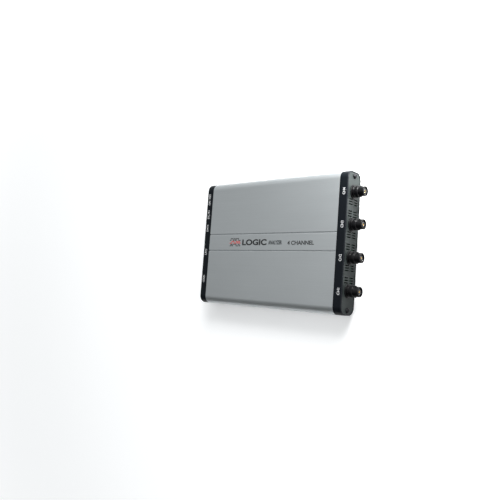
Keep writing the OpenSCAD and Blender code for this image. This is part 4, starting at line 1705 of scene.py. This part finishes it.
@dataclass
class FacePrint:
    """The band printed between the grooves: a pulse-train mark and two plain legends."""

    lift: float = 0.005
    mark_start: float = 56.5
    mark_step: float = 1.6
    mark_height: float = 1.9
    mark_stroke: float = 0.75
    mark_rows: tuple[tuple[str, float, Ink], ...] = (
        ("0110101100", 2.3, Ink.BLACK),
        ("0011001010", -0.75, Ink.RED),
        ("0101110010", -3.8, Ink.BLACK),
    )
    legends: tuple[Legend, ...] = (
        Legend("face_legend", "LOGIC", 0.0, 21.0, 6.4, 34.0, 0.04, Ink.BLACK),
        Legend("face_middle_legend", "ANALYZER", -0.4, -7.2, 4.2, 18.0, 0.045, Ink.GREY),
        Legend("face_small_legend", "4 CHANNEL", -0.9, -39.0, 4.2, 32.0, 0.03, Ink.BLACK),
    )

    def build(self) -> None:
        """Prints the mark and the legends."""
        top = Box.of("case_extrusion").high.z + self.lift
        reading, upright = (0, -1, 0), (1, 0, 0)
        for number, (levels, offset, ink) in enumerate(self.mark_rows, 1):
            path = pulse_train(levels, self.mark_step, self.mark_height)
            row = ribbon(path, self.mark_stroke, INK_DEPTH)
            row.moved(standing(Vector(reading), Vector(upright), Vector((offset, self.mark_start, top))))
            WORKS.deliver(f"mark_row_{number}", row, ink)
        for each in self.legends:
            place = (each.x, each.y, top)
            words = Lettering(each.words, each.height, place, reading, upright, each.length, each.weight)
            WORKS.deliver(each.name, words.solid(), each.ink)


@dataclass
class BezelLabels:
    """The small white labels on the bezels, beside what they name."""

    lift: float = 0.004
    from_joint: float = 5.2
    height: float = 2.7
    channel_length: float = 6.4
    shift: float = -0.9
    ports: tuple[tuple[str, str, float], ...] = (
        ("switch_frame", "ON  OFF", 13.0), ("dc_jack_body", "DC IN", 9.5), ("usb_shell", "DATA", 8.0),
        ("lan_shell", "LAN", 6.5), ("logic_shroud", "LOGIC", 8.0),
    )

    def build(self) -> None:
        """Prints the channel numbers and the port names."""
        case = Box.of("case_extrusion")
        front, rear = Solid(), Solid()
        for n in CHANNELS:
            place = (channel_at(n) + self.shift, case.low.y - self.from_joint)
            front.joined(self._label(f"CH{n}", place, self.channel_length))
        for node, words, length in self.ports:
            place = (Box.of(node).middle.x, case.high.y + self.from_joint)
            rear.joined(self._label(words, place, length))
        WORKS.deliver("channel_labels", front, Ink.WHITE)
        WORKS.deliver("port_labels", rear, Ink.WHITE)

    def _label(self, words: str, place: tuple[float, float], length: float) -> Solid:
        """One label that reads along X, with its middle at a place on the bezel's upper face."""
        middle = (*place, Box.of("front_bezel").high.z + self.lift)
        return Lettering(words, self.height, middle, (1, 0, 0), (0, 1, 0), length).solid()


# ---------- studio ----------


@dataclass(frozen=True)
class SoftBox:
    """A square lamp that aims at a point, in metres."""

    name: str
    place: Place
    aim: Place
    width: float
    power: float

    def build(self) -> None:
        """Hangs the lamp."""
        light = bpy.data.lights.new(self.name, "AREA")
        light.shape = "SQUARE"
        light.size = self.width
        light.energy = self.power
        lamp = shown(self.name, light)
        way = (Vector(self.aim) - Vector(self.place)).to_track_quat("-Z", "Y")
        lamp.matrix_world = Matrix.Translation(self.place) @ way.to_matrix().to_4x4()
        lamp.visible_camera = False


@dataclass
class Studio:
    """The pale floor, which glows with painted light, the soft light and the camera. Lengths are metres,
    angles degrees.
    """

    aim: Place = (-0.00698, 0.03667, 0.0135)
    distance: float = 0.5716
    azimuth: float = -6.76
    elevation: float = 48.31
    roll: float = -80.8
    lens: float = 37.67
    floor_side: float = 12.0
    sky: Colour = (0.95, 0.985, 1.0)
    sky_level: float = 0.02
    sky_rise: float = 0.50
    sky_lean: float = 0.60
    painted_floor_light: float = 0.2
    painted_light_start: float = 400.0
    painted_light_end: float = 1800.0
    backdrop: Colour = (1.0, 1.0, 1.0)
    lamps: tuple[SoftBox, ...] = (
        SoftBox("key", (1.0, -0.48, 0.75), (0, 0, 0), 0.7, 16.0),
        SoftBox("fill", (-0.2, -0.9, 1.2), (0, 0, 0), 0.8, 8.0),
        SoftBox("corner", (0.125, -0.150, 0.045), (0.062, -0.09, 0.010), 0.04, 0.62),
    )

    def build_camera(self) -> None:
        """Sets up the camera."""
        data = bpy.data.cameras.new("camera")
        data.lens = self.lens
        data.clip_start, data.clip_end = 0.01, 50.0
        camera = shown("camera", data)
        turn, rise = math.radians(self.azimuth), math.radians(self.elevation)
        back = Vector((math.sin(turn) * math.cos(rise), -math.cos(turn) * math.cos(rise), math.sin(rise)))
        level = Euler((math.pi / 2 - rise, 0, turn)).to_matrix().to_4x4()
        place = Matrix.Translation(Vector(self.aim) + back * self.distance)
        camera.matrix_world = place @ level @ Matrix.Rotation(math.radians(self.roll), 4, "Z")
        bpy.context.scene.camera = camera

    def build_floor(self) -> None:
        """Lays the floor, whose glow is painted light: faint near the object, which lightens its shadow, and
        full far off, which makes up for the lamps' falloff.
        """
        half = self.floor_side / 2
        mesh = bpy.data.meshes.new("floor")
        corners = [(x * half, y * half, 0) for x, y in ((-1, -1), (1, -1), (1, 1), (-1, 1))]
        mesh.from_pydata(corners, [], [(0, 1, 2, 3)])
        floor = shown("floor", mesh)
        tree = MaterialTree("paper_floor")
        fibre = tree.noise(1.5, 3.0)
        far = tree.vector("LENGTH", tree.place).out("Value")
        # Painted light: the floor's own glow, faint near the object and full far away where the lamps fall
        # off.
        glow = self.painted_floor_light + tree.rise(far, self.painted_light_start, self.painted_light_end) * (1.0 - self.painted_floor_light)
        tree.surface(
            {
                "Base Color": tree.shade((0.93, 0.935, 0.94), 0.99 + fibre * 0.02), "Roughness": 0.9,
                "Emission Color": tree.shade((1.0, 1.0, 1.0), glow),
            },
            {"Specular IOR Level": 0.1, "Emission Strength": 1.0},
        )
        mesh.materials.append(tree.material)

    def build_light(self) -> None:
        """Hangs the lamps in a pale room that is brighter towards channel 4 and overhead."""
        world = bpy.data.worlds.new("room")
        world.use_nodes = True
        world.node_tree.nodes.clear()
        bpy.context.scene.world = world
        tree = Tree(world.node_tree)
        way = tree.node("ShaderNodeTexCoord").out("Generated")
        split = tree.node("ShaderNodeSeparateXYZ", {0: way})
        level = self.sky_level + self.sky_lean * split.out("X") + self.sky_rise * split.out("Z")
        glow = tree.math("MAXIMUM", level, 0.06)
        room = tree.node("ShaderNodeBackground", {"Color": (*self.sky, 1.0), "Strength": glow})
        seen = tree.node("ShaderNodeBackground", {"Color": (*self.backdrop, 1.0), "Strength": 1.0})
        camera_ray = tree.node("ShaderNodeLightPath").out("Is Camera Ray")
        mixed = tree.node("ShaderNodeMixShader", {0: camera_ray, 1: room, 2: seen})
        tree.node("ShaderNodeOutputWorld", {"Surface": mixed})
        for lamp in self.lamps:
            lamp.build()
        bpy.context.scene.view_settings.view_transform = "Standard"


# ---------- assembly ----------


def front_plate() -> EndPlate:
    """The front plate: a hole for each connector, and vents between them."""
    hole_radius, vent_offset = 5.75, 5.7
    places = [channel_at(n) for n in CHANNELS]
    holes = [circle(hole_radius, (x, 0), 64) for x in places]
    groups = [
        (left + right) / 2 + side * vent_offset
        for left, right in zip(places, places[1:])
        for side in (-1, 1)
    ]
    return EndPlate(End.FRONT, holes, groups)


def rear_plate() -> EndPlate:
    """The rear plate: an opening for the switch and each port, and one group of vents."""
    gap, switch_opening = 0.2, (14.4, 10.0)
    middle = Box.of("case_extrusion").middle.z
    openings = []
    for node in ("dc_jack_body", "usb_shell", "lan_shell", "logic_shroud"):
        box = Box.of(node)
        place = (-box.middle.x, box.middle.z - middle)
        openings.append(rectangle(box.size.x + 2 * gap, box.size.z + 2 * gap, 0.3, place))
    switch = Box.of("switch_frame")
    openings.append(rectangle(*switch_opening, 0.2, (-switch.middle.x, 0)))
    vent = (Box.of("usb_shell").low.x + Box.of("lan_shell").high.x) / 2
    return EndPlate(End.REAR, openings, [-vent])


def main() -> None:
    """Builds the whole scene."""
    logging.basicConfig(level=logging.INFO, format="%(message)s")
    studio = Studio()
    studio.build_camera()
    CaseShell().build()
    for end in End:
        EndFrame(end).build()
    front_plate().build()
    rear_plate().build()
    TrimRings().build()
    for number in CHANNELS:
        ChannelConnector(number).build()
    RockerSwitch().build()
    RearPorts().build()
    MainBoard().build()
    FacePrint().build()
    BezelLabels().build()
    studio.build_floor()
    studio.build_light()


if __name__ == "__main__":
    main()
